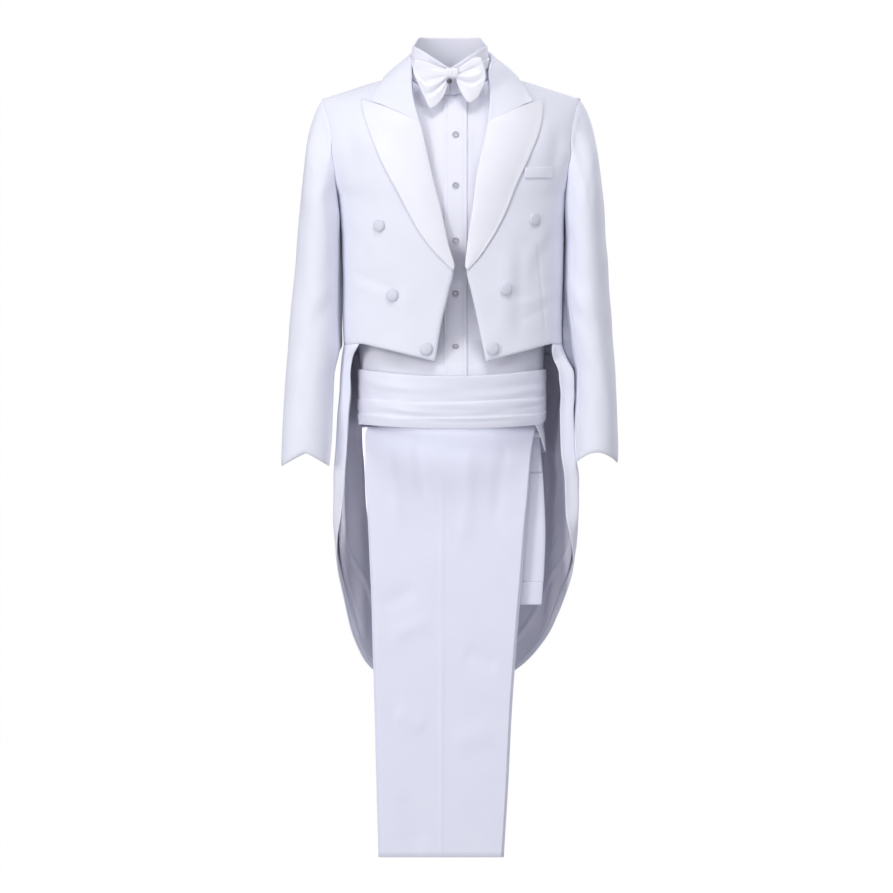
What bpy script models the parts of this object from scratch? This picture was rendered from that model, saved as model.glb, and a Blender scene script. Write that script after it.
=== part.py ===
"""A white evening dress set: tailcoat, shirt, bow tie and cummerbund, filled out with no wearer,
and creased trousers folded over a plain bar at the waist.

Metres, +Z up.  The front of the set faces -Y.  The origin lies on the body's middle line at the
height of the shoulder points, where shoulders would carry the coat.  Left and right are the
wearer's, so left is +X.
"""
import math

import bmesh
import bpy
import numpy as np
from mathutils import Vector

# ---------------------------------------------------------------- driving sizes
WOOL = 0.0020                # wall of the coat's cloth
SATIN = 0.0016               # wall of the facings, cummerbund and bow
POPLIN = 0.0012              # wall of the shirt's cloth
LINING = 0.0010              # wall of the tail lining
SEAM = 0.0004                # gap between two pieces at a seam, or between two layers
SECTION_POWER = 2.25         # 2 is an ellipse, more is squarer
MIDDLE_STRIP = 0.003         # within this of the middle line the surface faces straight ahead

NECK_POINT = (0.088, 0.044)          # from the middle, height: where the shoulder seam starts
SHOULDER_POINT = (0.2266, 0.0)       # where the shoulder seam ends
SHOULDER_ROUND = 0.100               # height over which the body rounds over into the seam
SHOULDER_SEAM_Y = 0.012
NAPE_HEIGHT = 0.026                  # the neckline at the middle of the back

ARMHOLE_DEPTH = 0.175
ARMHOLE_FRONT_DEG = 26.0
ARMHOLE_BACK_DEG = 28.0
BACK_SEAM_TOP = -0.115               # where the side-back seam leaves the armhole
WAIST_SEAM = -0.4355
FRONT_CORNER = -0.467                # lowest point of each front
SIDE_POINT = {+1: 0.178, -1: 0.158}  # how far out a front's hem meets its tail
TAIL_END = -1.045
VENT_GAP = 0.003
LINING_MARGIN = 0.007                # the lining stops this far short of the tail's cut edges
LINING_INSET = 0.0032                # from the outside of the tail to the outside of its lining
PIVOT_COLUMN_DEG = 86.0              # spacing of the columns from the middle to the side

COAT_BUTTON_WIDTH = 0.0225
COAT_BUTTON_HEIGHT = 0.0055
SHIRT_BUTTON_WIDTH = 0.0115
SHIRT_BUTTON_HEIGHT = 0.0022
SHIRT_DROP = 0.010                   # the shirt's shoulders lie this far below the coat's
SHIRT_MIDDLE = 0.008                 # the placket sits a little to the wearer's left
PLACKET_WIDTH = 0.040

BAR_RADIUS = 0.005
BAR_HEIGHT = -0.5985
BAR_Y = -0.010
BAR_SHORT = 0.0060                   # the bar ends this far inside the shirt's sides
TROUSER_HEM = -1.3405
CROTCH_LEVEL = -0.662                # on the stretch that hangs behind the bar
WAISTBAND_TOP = -0.857
WAISTBAND_END = -0.896
LEG_HALF_THICK = 0.0023
LEG_EDGE_THICK = 0.0013
HEM_MOUTH = 0.018                    # how deep the open hem shows between its two layers
HEM_LAYER = 0.0010
INNER_LEG_RADIUS = BAR_RADIUS + SEAM + LEG_HALF_THICK
OUTER_LEG_RADIUS = INNER_LEG_RADIUS + SEAM + 2 * LEG_HALF_THICK
SEAT_HALF_THICK = 0.0011
WAISTBAND_DEEP = 0.0046              # half the pressed waistband's thickness
WAIST_MOUTH = 0.028                  # how far up the pressed opening shows between its layers
WAIST_LAYER = 0.0029
CUMMERBUND_FRONT_DEG = 96.0

COLOURS = {
    "wool": ((0.86, 0.86, 0.93), 0.85),
    "satin": ((0.92, 0.92, 0.97), 0.38),
    "poplin": ((0.88, 0.88, 0.93), 0.70),
    "lining": ((0.62, 0.62, 0.68), 0.40),
    "button": ((0.80, 0.80, 0.84), 0.35),
    "bar": ((0.85, 0.85, 0.87), 0.30),
}


class Table:
    """Rows of numbers with named columns, read between the rows as smooth curves."""

    def __init__(self, columns, rows):
        data = np.array(sorted(rows), dtype=float)
        self.keys = data[:, 0]
        self.columns = {}
        for place, column in enumerate(columns.split()):
            self.columns[column] = data[:, place]

    def at(self, key, column):
        keys = self.keys
        values = self.columns[column]
        key = min(max(key, keys[0]), keys[-1])
        low = min(int(np.searchsorted(keys, key, side="right")) - 1, len(keys) - 2)
        step = keys[low + 1] - keys[low]
        part = (key - keys[low]) / step
        rises = np.diff(values) / np.diff(keys)
        start = self.slope(rises, low)
        end = self.slope(rises, low + 1)
        part2 = part * part
        part3 = part2 * part
        return ((2 * part3 - 3 * part2 + 1) * values[low] + (part3 - 2 * part2 + part) * step * start
                + (3 * part2 - 2 * part3) * values[low + 1] + (part3 - part2) * step * end)

    @staticmethod
    def slope(rises, place):
        """The slope at a row: the mean of its neighbours, or none where the curve turns."""
        if place == 0:
            return rises[0]
        if place == len(rises):
            return rises[-1]
        before = rises[place - 1]
        after = rises[place]
        if before * after <= 0:
            return 0.0
        return 2 * before * after / (before + after)


# the coat round the body; left and right are half widths, front and back are depths
COAT = Table("z left right front back", (
    (0.050, 0.222, 0.222, 0.076, 0.086),
    (0.000, 0.2266, 0.2275, 0.090, 0.102),
    (-0.040, 0.2315, 0.232, 0.102, 0.113),
    (-0.090, 0.2325, 0.232, 0.114, 0.120),
    (-0.130, 0.222, 0.221, 0.121, 0.122),
    (-0.157, 0.2115, 0.210, 0.124, 0.121),
    (-0.175, 0.2045, 0.2015, 0.125, 0.120),
    (-0.245, 0.2005, 0.1940, 0.124, 0.113),
    (-0.326, 0.1980, 0.1915, 0.120, 0.104),
    (-0.400, 0.1965, 0.1920, 0.117, 0.099),
    (-0.4355, 0.1970, 0.1905, 0.117, 0.101),
    (-0.460, 0.2060, 0.1940, 0.117, 0.105),
    (-0.487, 0.2180, 0.1958, 0.117, 0.110),
    (-0.520, 0.2180, 0.1965, 0.116, 0.114),
    (-0.560, 0.2155, 0.1998, 0.112, 0.118),
    (-0.620, 0.2160, 0.2012, 0.106, 0.122),
    (-0.6755, 0.2225, 0.2039, 0.102, 0.126),
    (-0.744, 0.2205, 0.2046, 0.100, 0.130),
    (-0.833, 0.2185, 0.2046, 0.100, 0.135),
    (-0.940, 0.2185, 0.2046, 0.100, 0.139),
    (-1.045, 0.2185, 0.2046, 0.100, 0.142),
))

# the shirt inside it
SHIRT = Table("z left right front back", (
    (0.040, 0.214, 0.214, 0.056, 0.074),
    (0.000, 0.217, 0.217, 0.066, 0.091),
    (-0.058, 0.219, 0.219, 0.092, 0.104),
    (-0.100, 0.215, 0.215, 0.103, 0.110),
    (-0.150, 0.199, 0.199, 0.112, 0.110),
    (-0.185, 0.189, 0.187, 0.115, 0.109),
    (-0.250, 0.184, 0.180, 0.114, 0.103),
    (-0.330, 0.176, 0.173, 0.100, 0.094),
    (-0.420, 0.166, 0.164, 0.0955, 0.088),
    (-0.480, 0.1635, 0.1605, 0.1005, 0.089),
    (-0.577, 0.1635, 0.1605, 0.106, 0.090),
    (-0.592, 0.1655, 0.1625, 0.106, 0.091),
    (-0.607, 0.1670, 0.1640, 0.106, 0.093),
    (-0.650, 0.1710, 0.1660, 0.108, 0.097),
))

# the front opening above the roll's end and the cutaway below it
OPENING = Table("z half middle", (
    (0.076, 0.0750, -0.003),
    (0.000, 0.0695, 0.001),
    (-0.066, 0.0580, 0.006),
    (-0.127, 0.0445, 0.006),
    (-0.200, 0.0305, 0.010),
    (-0.259, 0.0200, 0.012),
    (-0.309, 0.0118, 0.016),
    (-0.345, 0.0195, 0.016),
    (-0.400, 0.0323, 0.0155),
    (-0.467, 0.0446, 0.017),
))
ROLL_END = -0.309

# how far the lapel's outer edge stands out from the roll line
LAPEL = Table("z width", (
    (-0.306, 0.0015),
    (-0.286, 0.0185),
    (-0.263, 0.0320),
    (-0.235, 0.0455),
    (-0.201, 0.0570),
    (-0.164, 0.0670),
    (-0.103, 0.0840),
    (-0.035, 0.0930),
    (-0.004, 0.0905),
))
PEAK_HEIGHT = -0.004
GORGE_INNER_HEIGHT = -0.045

# where the tail's cut edge runs, as the angle round the body from the middle of the front
TAIL_EDGE = Table("z left right", (
    (-0.4355, 65.5, 56.5),
    (-0.460, 59.0, 61.0),
    (-0.487, 57.0, 63.0),
    (-0.524, 62.0, 63.0),
    (-0.555, 67.0, 62.5),
    (-0.600, 68.5, 66.0),
    (-0.670, 73.0, 74.0),
    (-0.735, 84.0, 88.0),
    (-0.781, 92.0, 98.0),
    (-0.833, 103.0, 104.5),
    (-0.871, 112.0, 112.0),
    (-0.914, 121.0, 119.0),
    (-0.940, 128.0, 123.5),
    (-0.970, 139.0, 130.0),
    (-1.010, 152.5, 142.5),
    (-1.035, 163.0, 157.0),
    (-1.045, 169.5, 168.0),
))

# the side-back seam, as its distance from the middle of the back
BACK_SEAM = Table("z width", (
    (-0.115, 0.206),
    (-0.150, 0.183),
    (-0.200, 0.150),
    (-0.260, 0.114),
    (-0.330, 0.082),
    (-0.400, 0.061),
    (-0.4355, 0.056),
    (-0.600, 0.060),
    (-0.800, 0.062),
    (-0.950, 0.056),
    (-1.010, 0.044),
    (-1.045, 0.026),
))

# the sleeves: outer and inner edges in the front view, half depth, and middle from front to back
SLEEVE = {
    +1: Table("z outer inner depth y", (
        (0.000, 0.2285, 0.195, 0.030, 0.012),
        (-0.025, 0.2440, 0.193, 0.052, 0.009),
        (-0.056, 0.2529, 0.192, 0.063, 0.006),
        (-0.110, 0.2617, 0.194, 0.070, 0.002),
        (-0.175, 0.2695, 0.2066, 0.073, 0.000),
        (-0.245, 0.2745, 0.2032, 0.070, -0.002),
        (-0.326, 0.2795, 0.2024, 0.065, -0.005),
        (-0.360, 0.2815, 0.2045, 0.063, -0.008),
        (-0.411, 0.2848, 0.2110, 0.060, -0.013),
        (-0.456, 0.2885, 0.2175, 0.057, -0.018),
        (-0.487, 0.2905, 0.2216, 0.055, -0.022),
        (-0.536, 0.2930, 0.2212, 0.052, -0.028),
        (-0.577, 0.2942, 0.2195, 0.050, -0.033),
        (-0.620, 0.2950, 0.2195, 0.048, -0.037),
        (-0.660, 0.2950, 0.2190, 0.046, -0.041),
    )),
    -1: Table("z outer inner depth y", (
        (0.000, 0.2295, 0.195, 0.030, 0.012),
        (-0.025, 0.2430, 0.193, 0.052, 0.009),
        (-0.063, 0.2527, 0.192, 0.064, 0.006),
        (-0.129, 0.2610, 0.1955, 0.071, 0.001),
        (-0.175, 0.2655, 0.2036, 0.073, 0.000),
        (-0.213, 0.2690, 0.1990, 0.072, -0.001),
        (-0.250, 0.2720, 0.1966, 0.070, -0.002),
        (-0.294, 0.2752, 0.1972, 0.067, -0.004),
        (-0.335, 0.2790, 0.1985, 0.064, -0.007),
        (-0.402, 0.2855, 0.1990, 0.060, -0.013),
        (-0.443, 0.2885, 0.1975, 0.058, -0.017),
        (-0.492, 0.2925, 0.2060, 0.055, -0.023),
        (-0.600, 0.2984, 0.2100, 0.049, -0.035),
        (-0.665, 0.3010, 0.2157, 0.046, -0.041),
    )),
}
SLEEVE_HEM = {+1: -0.6440, -1: -0.6505}      # at the two sides of the cuff
CUFF_ARCH = {+1: 0.0175, -1: 0.0230}         # how far the hem rises at the front and the back
CUFF_POWER = {+1: 2.0, -1: 1.15}             # 1 is a pointed arch, 2 a round one
SLEEVE_CLEARANCE = 0.0018
SLEEVE_FRONT_SEAM_DEG = 150.0
SLEEVE_BACK_SEAM_DEG = 232.0
SLEEVE_ROWS = 14
CAP_BLEND = 0.09                     # the cap settles into the tube over this height

# the trousers' front stretch: edges of the creased leg; the pair hangs from the bar to the hem
LEG = Table("z left right", (
    (-0.583, 0.1500, -0.1575),
    (-0.617, 0.1430, -0.1562),
    (-0.644, 0.1400, -0.1536),
    (-0.714, 0.1340, -0.1490),
    (-0.751, 0.1300, -0.1446),
    (-0.841, 0.1230, -0.1393),
    (-0.895, 0.1182, -0.1370),
    (-0.986, 0.1110, -0.1347),
    (-1.085, 0.1040, -0.1316),
    (-1.217, 0.0975, -0.1282),
    (-1.3405, 0.0899, -0.1249),
))

# the stretch behind the bar, from the fold down to the waistband, which hangs lowest
SEAT = Table("z left right", (
    (-0.583, 0.1560, -0.1560),
    (-0.640, 0.1600, -0.1450),
    (-0.680, 0.1631, -0.1330),
    (-0.769, 0.1667, -0.1000),
    (-0.859, 0.1631, -0.0870),
    (-0.896, 0.1605, -0.0850),
))

# the cummerbund's folds from its top edge down: share of the height, how far the cloth stands out
PLEATS = Table("share proud", (
    (0.000, 0.0016),
    (0.030, 0.0026),
    (0.200, 0.0022),
    (0.380, 0.0010),
    (0.470, 0.0004),
    (0.486, 0.0034),
    (0.620, 0.0024),
    (0.745, 0.0006),
    (0.762, 0.0036),
    (0.880, 0.0022),
    (0.970, 0.0004),
    (1.000, 0.0000),
))
CUMMERBUND = {"half": 0.1662, "middle": 0.0018, "front": 0.1106, "back": 0.0935,
              "top_side": -0.4795, "top_front": -0.4930, "bottom_side": -0.5765,
              "bottom_front": -0.5850, "band_height": 0.045}

COAT_BUTTONS = {
    "coat_button_left_1": (0.1460, -0.2170),
    "coat_button_left_2": (0.0955, -0.3404),
    "coat_button_left_3": (0.0728, -0.4450),
    "coat_button_right_1": (-0.1260, -0.2285),
    "coat_button_right_2": (-0.1028, -0.3510),
    "coat_button_right_3": (-0.0436, -0.4455),
}
WAIST_BUTTON_X = 0.047               # the two at the back, at the tops of the pleats
SHIRT_BUTTON_HEIGHTS = (-0.0688, -0.1587, -0.2540, -0.3465, -0.4425)

# ---------------------------------------------------------------- objects and meshes
MATERIALS = {}


def clear_scene():
    for thing in list(bpy.data.objects):
        bpy.data.objects.remove(thing, do_unlink=True)


def material(finish):
    """The plain finish of one kind of cloth, button or bar."""
    if finish not in MATERIALS:
        colour, roughness = COLOURS[finish]
        made = bpy.data.materials.new(finish)
        made.use_nodes = True
        shader = made.node_tree.nodes["Principled BSDF"]
        shader.inputs["Base Color"].default_value = (*colour, 1.0)
        shader.inputs["Roughness"].default_value = roughness
        shader.inputs["Metallic"].default_value = 0.0
        MATERIALS[finish] = made
    return MATERIALS[finish]


def add_object(name, mesh, finish):
    """Turn a finished bmesh into an object, with its faces pointing out."""
    bmesh.ops.triangulate(mesh, faces=mesh.faces[:])
    if mesh.calc_volume(signed=True) < 0:
        bmesh.ops.reverse_faces(mesh, faces=mesh.faces[:])
    data = bpy.data.meshes.new(name)
    mesh.to_mesh(data)
    mesh.free()
    data.shade_smooth()
    data.set_sharp_from_angle(angle=math.radians(40))
    data.materials.append(material(finish))
    made = bpy.data.objects.new(name, data)
    bpy.context.scene.collection.objects.link(made)
    return made


def wall(name, outer, inner, finish, ring=False):
    """Close an outer and an inner grid of points, row over row, into one shell of cloth."""
    mesh = bmesh.new()
    top = [[mesh.verts.new(point) for point in row] for row in outer]
    under = [[mesh.verts.new(point) for point in row] for row in inner]
    rows = len(outer)
    columns = len(outer[0])
    spans = columns if ring else columns - 1
    end = rows - 1
    for row in range(end):
        for column in range(spans):
            near = (column + 1) % columns
            mesh.faces.new((top[row][column], top[row][near],
                            top[row + 1][near], top[row + 1][column]))
            mesh.faces.new((under[row][column], under[row + 1][column],
                            under[row + 1][near], under[row][near]))
    for column in range(spans):
        near = (column + 1) % columns
        mesh.faces.new((top[0][near], top[0][column], under[0][column], under[0][near]))
        mesh.faces.new((top[end][column], top[end][near], under[end][near], under[end][column]))
    if not ring:
        last = columns - 1
        for row in range(end):
            mesh.faces.new((top[row][0], top[row + 1][0], under[row + 1][0], under[row][0]))
            mesh.faces.new((top[row + 1][last], top[row][last],
                            under[row][last], under[row + 1][last]))
    return add_object(name, mesh, finish)


def rings_solid(name, rings, finish):
    """Join rings of points one after another and close both ends with a face."""
    mesh = bmesh.new()
    loops = [[mesh.verts.new(point) for point in ring] for ring in rings]
    count = len(rings[0])
    for first, second in zip(loops, loops[1:]):
        for place in range(count):
            near = (place + 1) % count
            mesh.faces.new((first[place], first[near], second[near], second[place]))
    mesh.faces.new(list(reversed(loops[0])))
    mesh.faces.new(loops[-1])
    return add_object(name, mesh, finish)


def grid_normals(grid, away_from, ring=False):
    """Unit normals of a grid of points, turned away from the axis that away_from gives."""
    rows = len(grid)
    columns = len(grid[0])
    normals = []
    total = 0.0
    for row in range(rows):
        line = []
        for column in range(columns):
            if ring:
                left = grid[row][column - 1]
                right = grid[row][(column + 1) % columns]
            else:
                left = grid[row][max(column - 1, 0)]
                right = grid[row][min(column + 1, columns - 1)]
            down = grid[max(row - 1, 0)][column]
            up = grid[min(row + 1, rows - 1)][column]
            normal = (right - left).cross(up - down).normalized()
            total += normal.dot(grid[row][column] - away_from(grid[row][column]))
            line.append(normal)
        normals.append(line)
    turn = 1.0 if total > 0 else -1.0
    return [[normal * turn for normal in line] for line in normals]


def moved(grid, normals, distance):
    """The grid shifted along its normals."""
    return [[point + normal * distance for point, normal in zip(row, line)]
            for row, line in zip(grid, normals)]


def trim(grid, first_row=0.0, last_row=0.0, first_column=0.0, last_column=0.0):
    """Draw the named edges of a grid back towards the next row or column."""
    def drawn(point, towards, distance):
        span = towards - point
        return point + span.normalized() * min(distance, span.length * 0.6)

    if first_row:
        grid[0] = [drawn(p, q, first_row) for p, q in zip(grid[0], grid[1])]
    if last_row:
        grid[-1] = [drawn(p, q, last_row) for p, q in zip(grid[-1], grid[-2])]
    for row in grid:
        if first_column:
            row[0] = drawn(row[0], row[1], first_column)
        if last_column:
            row[-1] = drawn(row[-1], row[-2], last_column)
    return grid


def lerp(start, end, part):
    return start + (end - start) * part


def smooth(part):
    part = min(max(part, 0.0), 1.0)
    return part * part * (3 - 2 * part)


def shares(count):
    """Even steps from 0 to 1."""
    return [step / count for step in range(count + 1)]


def column_share(part):
    """Steps across a panel that get closer towards the side of the body."""
    turn = math.radians(PIVOT_COLUMN_DEG)
    return math.sin(part * turn) / math.sin(turn)


# ---------------------------------------------------------------- the form of a garment
class Form:
    """The surface of a garment round the body, read as depth over the front or back view."""

    def __init__(self, table, drop, waves):
        self.table = table
        self.drop = drop
        self.waves = waves

    def half(self, side, z):
        return self.table.at(z, "left" if side > 0 else "right")

    def shoulder(self, out):
        """Height of the shoulder line at a distance from the middle."""
        slope = (SHOULDER_POINT[1] - NECK_POINT[1]) / (SHOULDER_POINT[0] - NECK_POINT[0])
        return NECK_POINT[1] + slope * (out - NECK_POINT[0]) - self.drop

    def roundness(self, out, z):
        """1 on the body, falling to 0 at the shoulder line."""
        part = min(max((self.shoulder(abs(out)) - z) / SHOULDER_ROUND, 0.0), 1.0)
        return math.sqrt(1.0 - (1.0 - part) ** 2)

    def depth(self, side, out, z, back):
        """Y of the surface at a distance out from the middle and a height."""
        across = min(abs(out) / self.half(side, z), 1.0)
        bulge = (1.0 - across ** SECTION_POWER) ** (1.0 / SECTION_POWER)
        round_part = self.roundness(out, z)
        deep = self.table.at(z, "back" if back else "front")
        turn = 1.0 if back else -1.0
        return SHOULDER_SEAM_Y * (1.0 - round_part) + turn * deep * bulge * round_part

    def point(self, side, out, z, back=False):
        return Vector((side * out, self.depth(side, out, z, back), z))

    def ripple(self, angle, z):
        """Soft folds of the tails, which grow below the waist."""
        if not self.waves:
            return 1.0
        fall = smooth((WAIST_SEAM - 0.03 - z) / 0.22)
        return 1.0 + 0.026 * fall * math.sin(math.radians(angle) * 5.2 + 0.6)

    def ring_point(self, side, angle, z):
        """A point by its angle round the body: 0 at the front, 90 at the side, 180 at the back."""
        turn = math.radians(angle)
        power = 2.0 / SECTION_POWER
        out = self.half(side, z) * abs(math.sin(turn)) ** power
        deep = self.table.at(z, "back" if angle > 90 else "front")
        y = -math.copysign(deep * abs(math.cos(turn)) ** power, math.cos(turn))
        wave = self.ripple(angle, z)
        return Vector((side * out * wave, y * wave, z))

    def angle_at(self, side, out, z):
        """The angle round the back of a distance from the middle of the back."""
        across = min(out / self.half(side, z), 1.0)
        return 180.0 - math.degrees(math.asin(across ** (SECTION_POWER / 2.0)))

    def measure(self, side, point):
        """Below 0 inside the form, above 0 outside it."""
        z = point.z
        out = abs(point.x)
        round_part = max(self.roundness(out, z), 0.02)
        from_seam = point.y - SHOULDER_SEAM_Y * (1.0 - round_part)
        deep = self.table.at(z, "back" if from_seam > 0 else "front")
        across = out / self.half(side, z)
        return (across ** SECTION_POWER + abs(from_seam / (deep * round_part)) ** SECTION_POWER) - 1.0

    def normal(self, side, point):
        """The outward direction of the surface at a point on it."""
        if self.shoulder(abs(point.x)) - point.z < 0.0004:
            run = SHOULDER_POINT[0] - NECK_POINT[0]
            rise = NECK_POINT[1] - SHOULDER_POINT[1]
            return Vector((side * rise, 0.0, run)).normalized()
        step = 0.0002
        slopes = []
        for axis in range(3):
            shift = Vector((0.0, 0.0, 0.0))
            shift[axis] = step
            slopes.append(self.measure(side, point + shift) - self.measure(side, point - shift))
        if abs(point.x) < MIDDLE_STRIP:
            slopes[0] = 0.0
        return Vector(slopes).normalized()

    def normals(self, side, grid):
        return [[self.normal(side, point) for point in row] for row in grid]

    def lifted(self, side, out, z, back, lift):
        """A point a little outside the surface."""
        point = self.point(side, out, z, back)
        return point + self.normal(side, point) * lift


coat = Form(COAT, 0.0, waves=True)
shirt = Form(SHIRT, SHIRT_DROP, waves=False)
SIDE_NAMES = {+1: "left", -1: "right"}


def panel(name, form, side, grid, thick, finish, **edges):
    """One cut piece of a form: its outer points, a wall inwards, and its seams drawn back."""
    inner = moved(grid, form.normals(side, grid), -thick)
    return wall(name, trim(grid, **edges), trim(inner, **edges), finish)


def opening_edge(side, z):
    """Distance from the middle line to the roll line or the cutaway edge."""
    return OPENING.at(z, "half") + side * OPENING.at(z, "middle")


def armhole(form, side, turn_deg, lift=0.0, shrink=0.0):
    """A point on the armhole: 0 at the shoulder point, 90 in front, 180 under the arm."""
    turn = math.radians(turn_deg)
    half_depth = ARMHOLE_DEPTH / 2 + shrink / 2
    z = -half_depth + half_depth * math.cos(turn) - form.drop
    spread = ARMHOLE_FRONT_DEG if turn_deg <= 180 else ARMHOLE_BACK_DEG
    angle = 90.0 - spread * abs(math.sin(turn))
    out = form.half(side, z) * math.sin(math.radians(angle)) ** (2.0 / SECTION_POWER)
    if turn_deg in (0, 360):
        out = SHOULDER_POINT[0] - shrink
        z = form.shoulder(out)
    point = form.point(side, out, z, back=turn_deg > 180)
    return point + Vector((side * lift, 0.0, 0.0))


def armhole_row(form, side, z, back):
    """Distance from the middle to the armhole at a height."""
    half_depth = ARMHOLE_DEPTH / 2
    turn = math.acos(min(max((z + form.drop + half_depth) / half_depth, -1.0), 1.0))
    spread = ARMHOLE_BACK_DEG if back else ARMHOLE_FRONT_DEG
    angle = 90.0 - spread * math.sin(turn)
    return form.half(side, z) * math.sin(math.radians(angle)) ** (2.0 / SECTION_POWER)


def ease_up(part):
    """Rows that get closer towards the shoulder seam, where the body rounds over."""
    return 1.0 - (1.0 - part) ** 1.7


# ---------------------------------------------------------------- the tailcoat
TRUNK_ROWS = 8
UPPER_ROWS = 8
FRONT_COLUMNS = 10
SKIRT_COLUMNS = 7
BACK_COLUMNS = 4


def front_grid(side):
    """A coat front from its hem to the shoulder seam, and from its edge to under the arm."""
    grid = []
    corner_x = opening_edge(side, FRONT_CORNER)
    armpit = -ARMHOLE_DEPTH
    for part in shares(TRUNK_ROWS):
        row = []
        for share in shares(FRONT_COLUMNS):
            across = column_share(share)
            reach = lerp(corner_x, coat.half(side, WAIST_SEAM), across)
            climb = min(max((reach - corner_x) / (SIDE_POINT[side] - corner_x), 0.0), 1.0)
            hem = lerp(FRONT_CORNER, WAIST_SEAM, climb)
            z = lerp(hem, armpit, part)
            out = lerp(opening_edge(side, z), coat.half(side, z), across)
            row.append(coat.point(side, out, z))
        grid.append(row)
    for part in shares(UPPER_ROWS)[1:]:
        rise = ease_up(part)
        inner_z = lerp(armpit, NECK_POINT[1], rise)
        outer_z = lerp(armpit, SHOULDER_POINT[1], rise)
        inner_out = lerp(opening_edge(side, inner_z), NECK_POINT[0], smooth(inner_z / NECK_POINT[1]))
        outer_out = armhole_row(coat, side, outer_z, back=False)
        if part == 1:
            outer_out = SHOULDER_POINT[0]
        row = []
        for share in shares(FRONT_COLUMNS):
            across = column_share(share)
            out = lerp(inner_out, outer_out, across)
            row.append(coat.point(side, out, lerp(inner_z, outer_z, across)))
        grid.append(row)
    return grid


def coat_front(side):
    return panel("coat_front_" + SIDE_NAMES[side], coat, side, front_grid(side), WOOL, "wool",
                 first_row=SEAM / 2, last_row=SEAM / 2, last_column=SEAM / 2)


def coat_side(side):
    """The side body, from under the arm to the curved seam at the back."""
    grid = []
    columns = 4
    for part in shares(TRUNK_ROWS):
        row = []
        for share in shares(columns):
            back_top = coat.angle_at(side, armhole_row(coat, side, BACK_SEAM_TOP, True),
                                     BACK_SEAM_TOP)
            angle_top = lerp(90.0, back_top, share)
            turn = math.asin(min((angle_top - 90.0) / ARMHOLE_BACK_DEG, 1.0))
            top = -ARMHOLE_DEPTH / 2 * (1.0 + math.cos(turn))
            z = lerp(WAIST_SEAM, top, part)
            seam_z = lerp(WAIST_SEAM, BACK_SEAM_TOP, part)
            seam = min(BACK_SEAM.at(seam_z, "width"), armhole_row(coat, side, BACK_SEAM_TOP, True))
            seam_angle = coat.angle_at(side, seam, seam_z)
            if part == 1:
                seam_angle = back_top
            row.append(coat.ring_point(side, lerp(90.0, seam_angle, share), z))
        grid.append(row)
    return panel("coat_side_" + SIDE_NAMES[side], coat, side, grid, WOOL, "wool",
                 first_row=SEAM / 2, first_column=SEAM / 2, last_column=SEAM / 2)


TAIL_HEIGHTS = (TAIL_END, -1.036, -1.020, -0.998, -0.970, -0.938, -0.902, -0.862, -0.820,
                -0.775, -0.725, -0.670, -0.620, -0.575, -0.535, -0.505, -0.480, -0.458, WAIST_SEAM)


def middle_angle(side, z):
    """Where the centre-back seam runs, and the vent between the tails below the waist."""
    out = lerp(SEAM / 2, VENT_GAP / 2, smooth((WAIST_SEAM - z) / 0.04))
    return coat.angle_at(side, out, z)


def tail_grid(side, from_edge, columns, heights=TAIL_HEIGHTS):
    """Rows of a tail: from its cut edge to the side-back seam, or from there to the middle."""
    grid = []
    for z in heights:
        seam = coat.angle_at(side, BACK_SEAM.at(z, "width"), z)
        edge = TAIL_EDGE.at(z, SIDE_NAMES[side])
        start, end = (edge, seam) if from_edge else (seam, middle_angle(side, z))
        row = [coat.ring_point(side, lerp(start, end, share), z) for share in shares(columns)]
        grid.append(row)
    return grid


def coat_skirt(side):
    """The front part of a tail, sewn to the body at the waist."""
    return panel("tail_skirt_" + SIDE_NAMES[side], coat, side, tail_grid(side, True, SKIRT_COLUMNS),
                 WOOL, "wool", last_row=SEAM, last_column=SEAM / 2)


def neckline(form, out):
    """The top edge of a back piece: the shoulder seam, then the hollow of the nape."""
    if out >= NECK_POINT[0]:
        return form.shoulder(out)
    fall = form.shoulder(NECK_POINT[0]) - (NAPE_HEIGHT - form.drop)
    return NAPE_HEIGHT - form.drop + fall * (out / NECK_POINT[0]) ** 3


def coat_back(side):
    """A back piece in one length, from the nape to the end of the tail."""
    grid = tail_grid(side, False, BACK_COLUMNS)
    for part in shares(TRUNK_ROWS)[1:]:
        z = lerp(WAIST_SEAM, BACK_SEAM_TOP, part)
        seam = BACK_SEAM.at(z, "width")
        if part == 1:
            seam = armhole_row(coat, side, BACK_SEAM_TOP, True)
        start = coat.angle_at(side, seam, z)
        grid.append([coat.ring_point(side, lerp(start, middle_angle(side, z), share), z)
                     for share in shares(BACK_COLUMNS)])
    middle = abs(grid[-1][-1].x)
    base = [abs(point.x) for point in grid[-1]]
    steps = [(out - middle) / (base[0] - middle) for out in base]
    for part in shares(UPPER_ROWS - 1)[1:]:
        rise = ease_up(part)
        outer_z = lerp(BACK_SEAM_TOP, SHOULDER_POINT[1], rise)
        outer_out = armhole_row(coat, side, outer_z, back=True)
        if part == 1:
            outer_out = SHOULDER_POINT[0]
        row = []
        for step in steps:
            top = neckline(coat, lerp(middle, SHOULDER_POINT[0], step))
            out = lerp(middle, outer_out, step)
            z = lerp(BACK_SEAM_TOP, top, rise)
            row.append(coat.point(side, out, min(z, coat.shoulder(out)), back=True))
        grid.append(row)
    return panel("coat_back_" + SIDE_NAMES[side], coat, side, grid, WOOL, "wool",
                 last_row=SEAM / 2, first_column=SEAM / 2, last_column=0.0)


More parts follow.
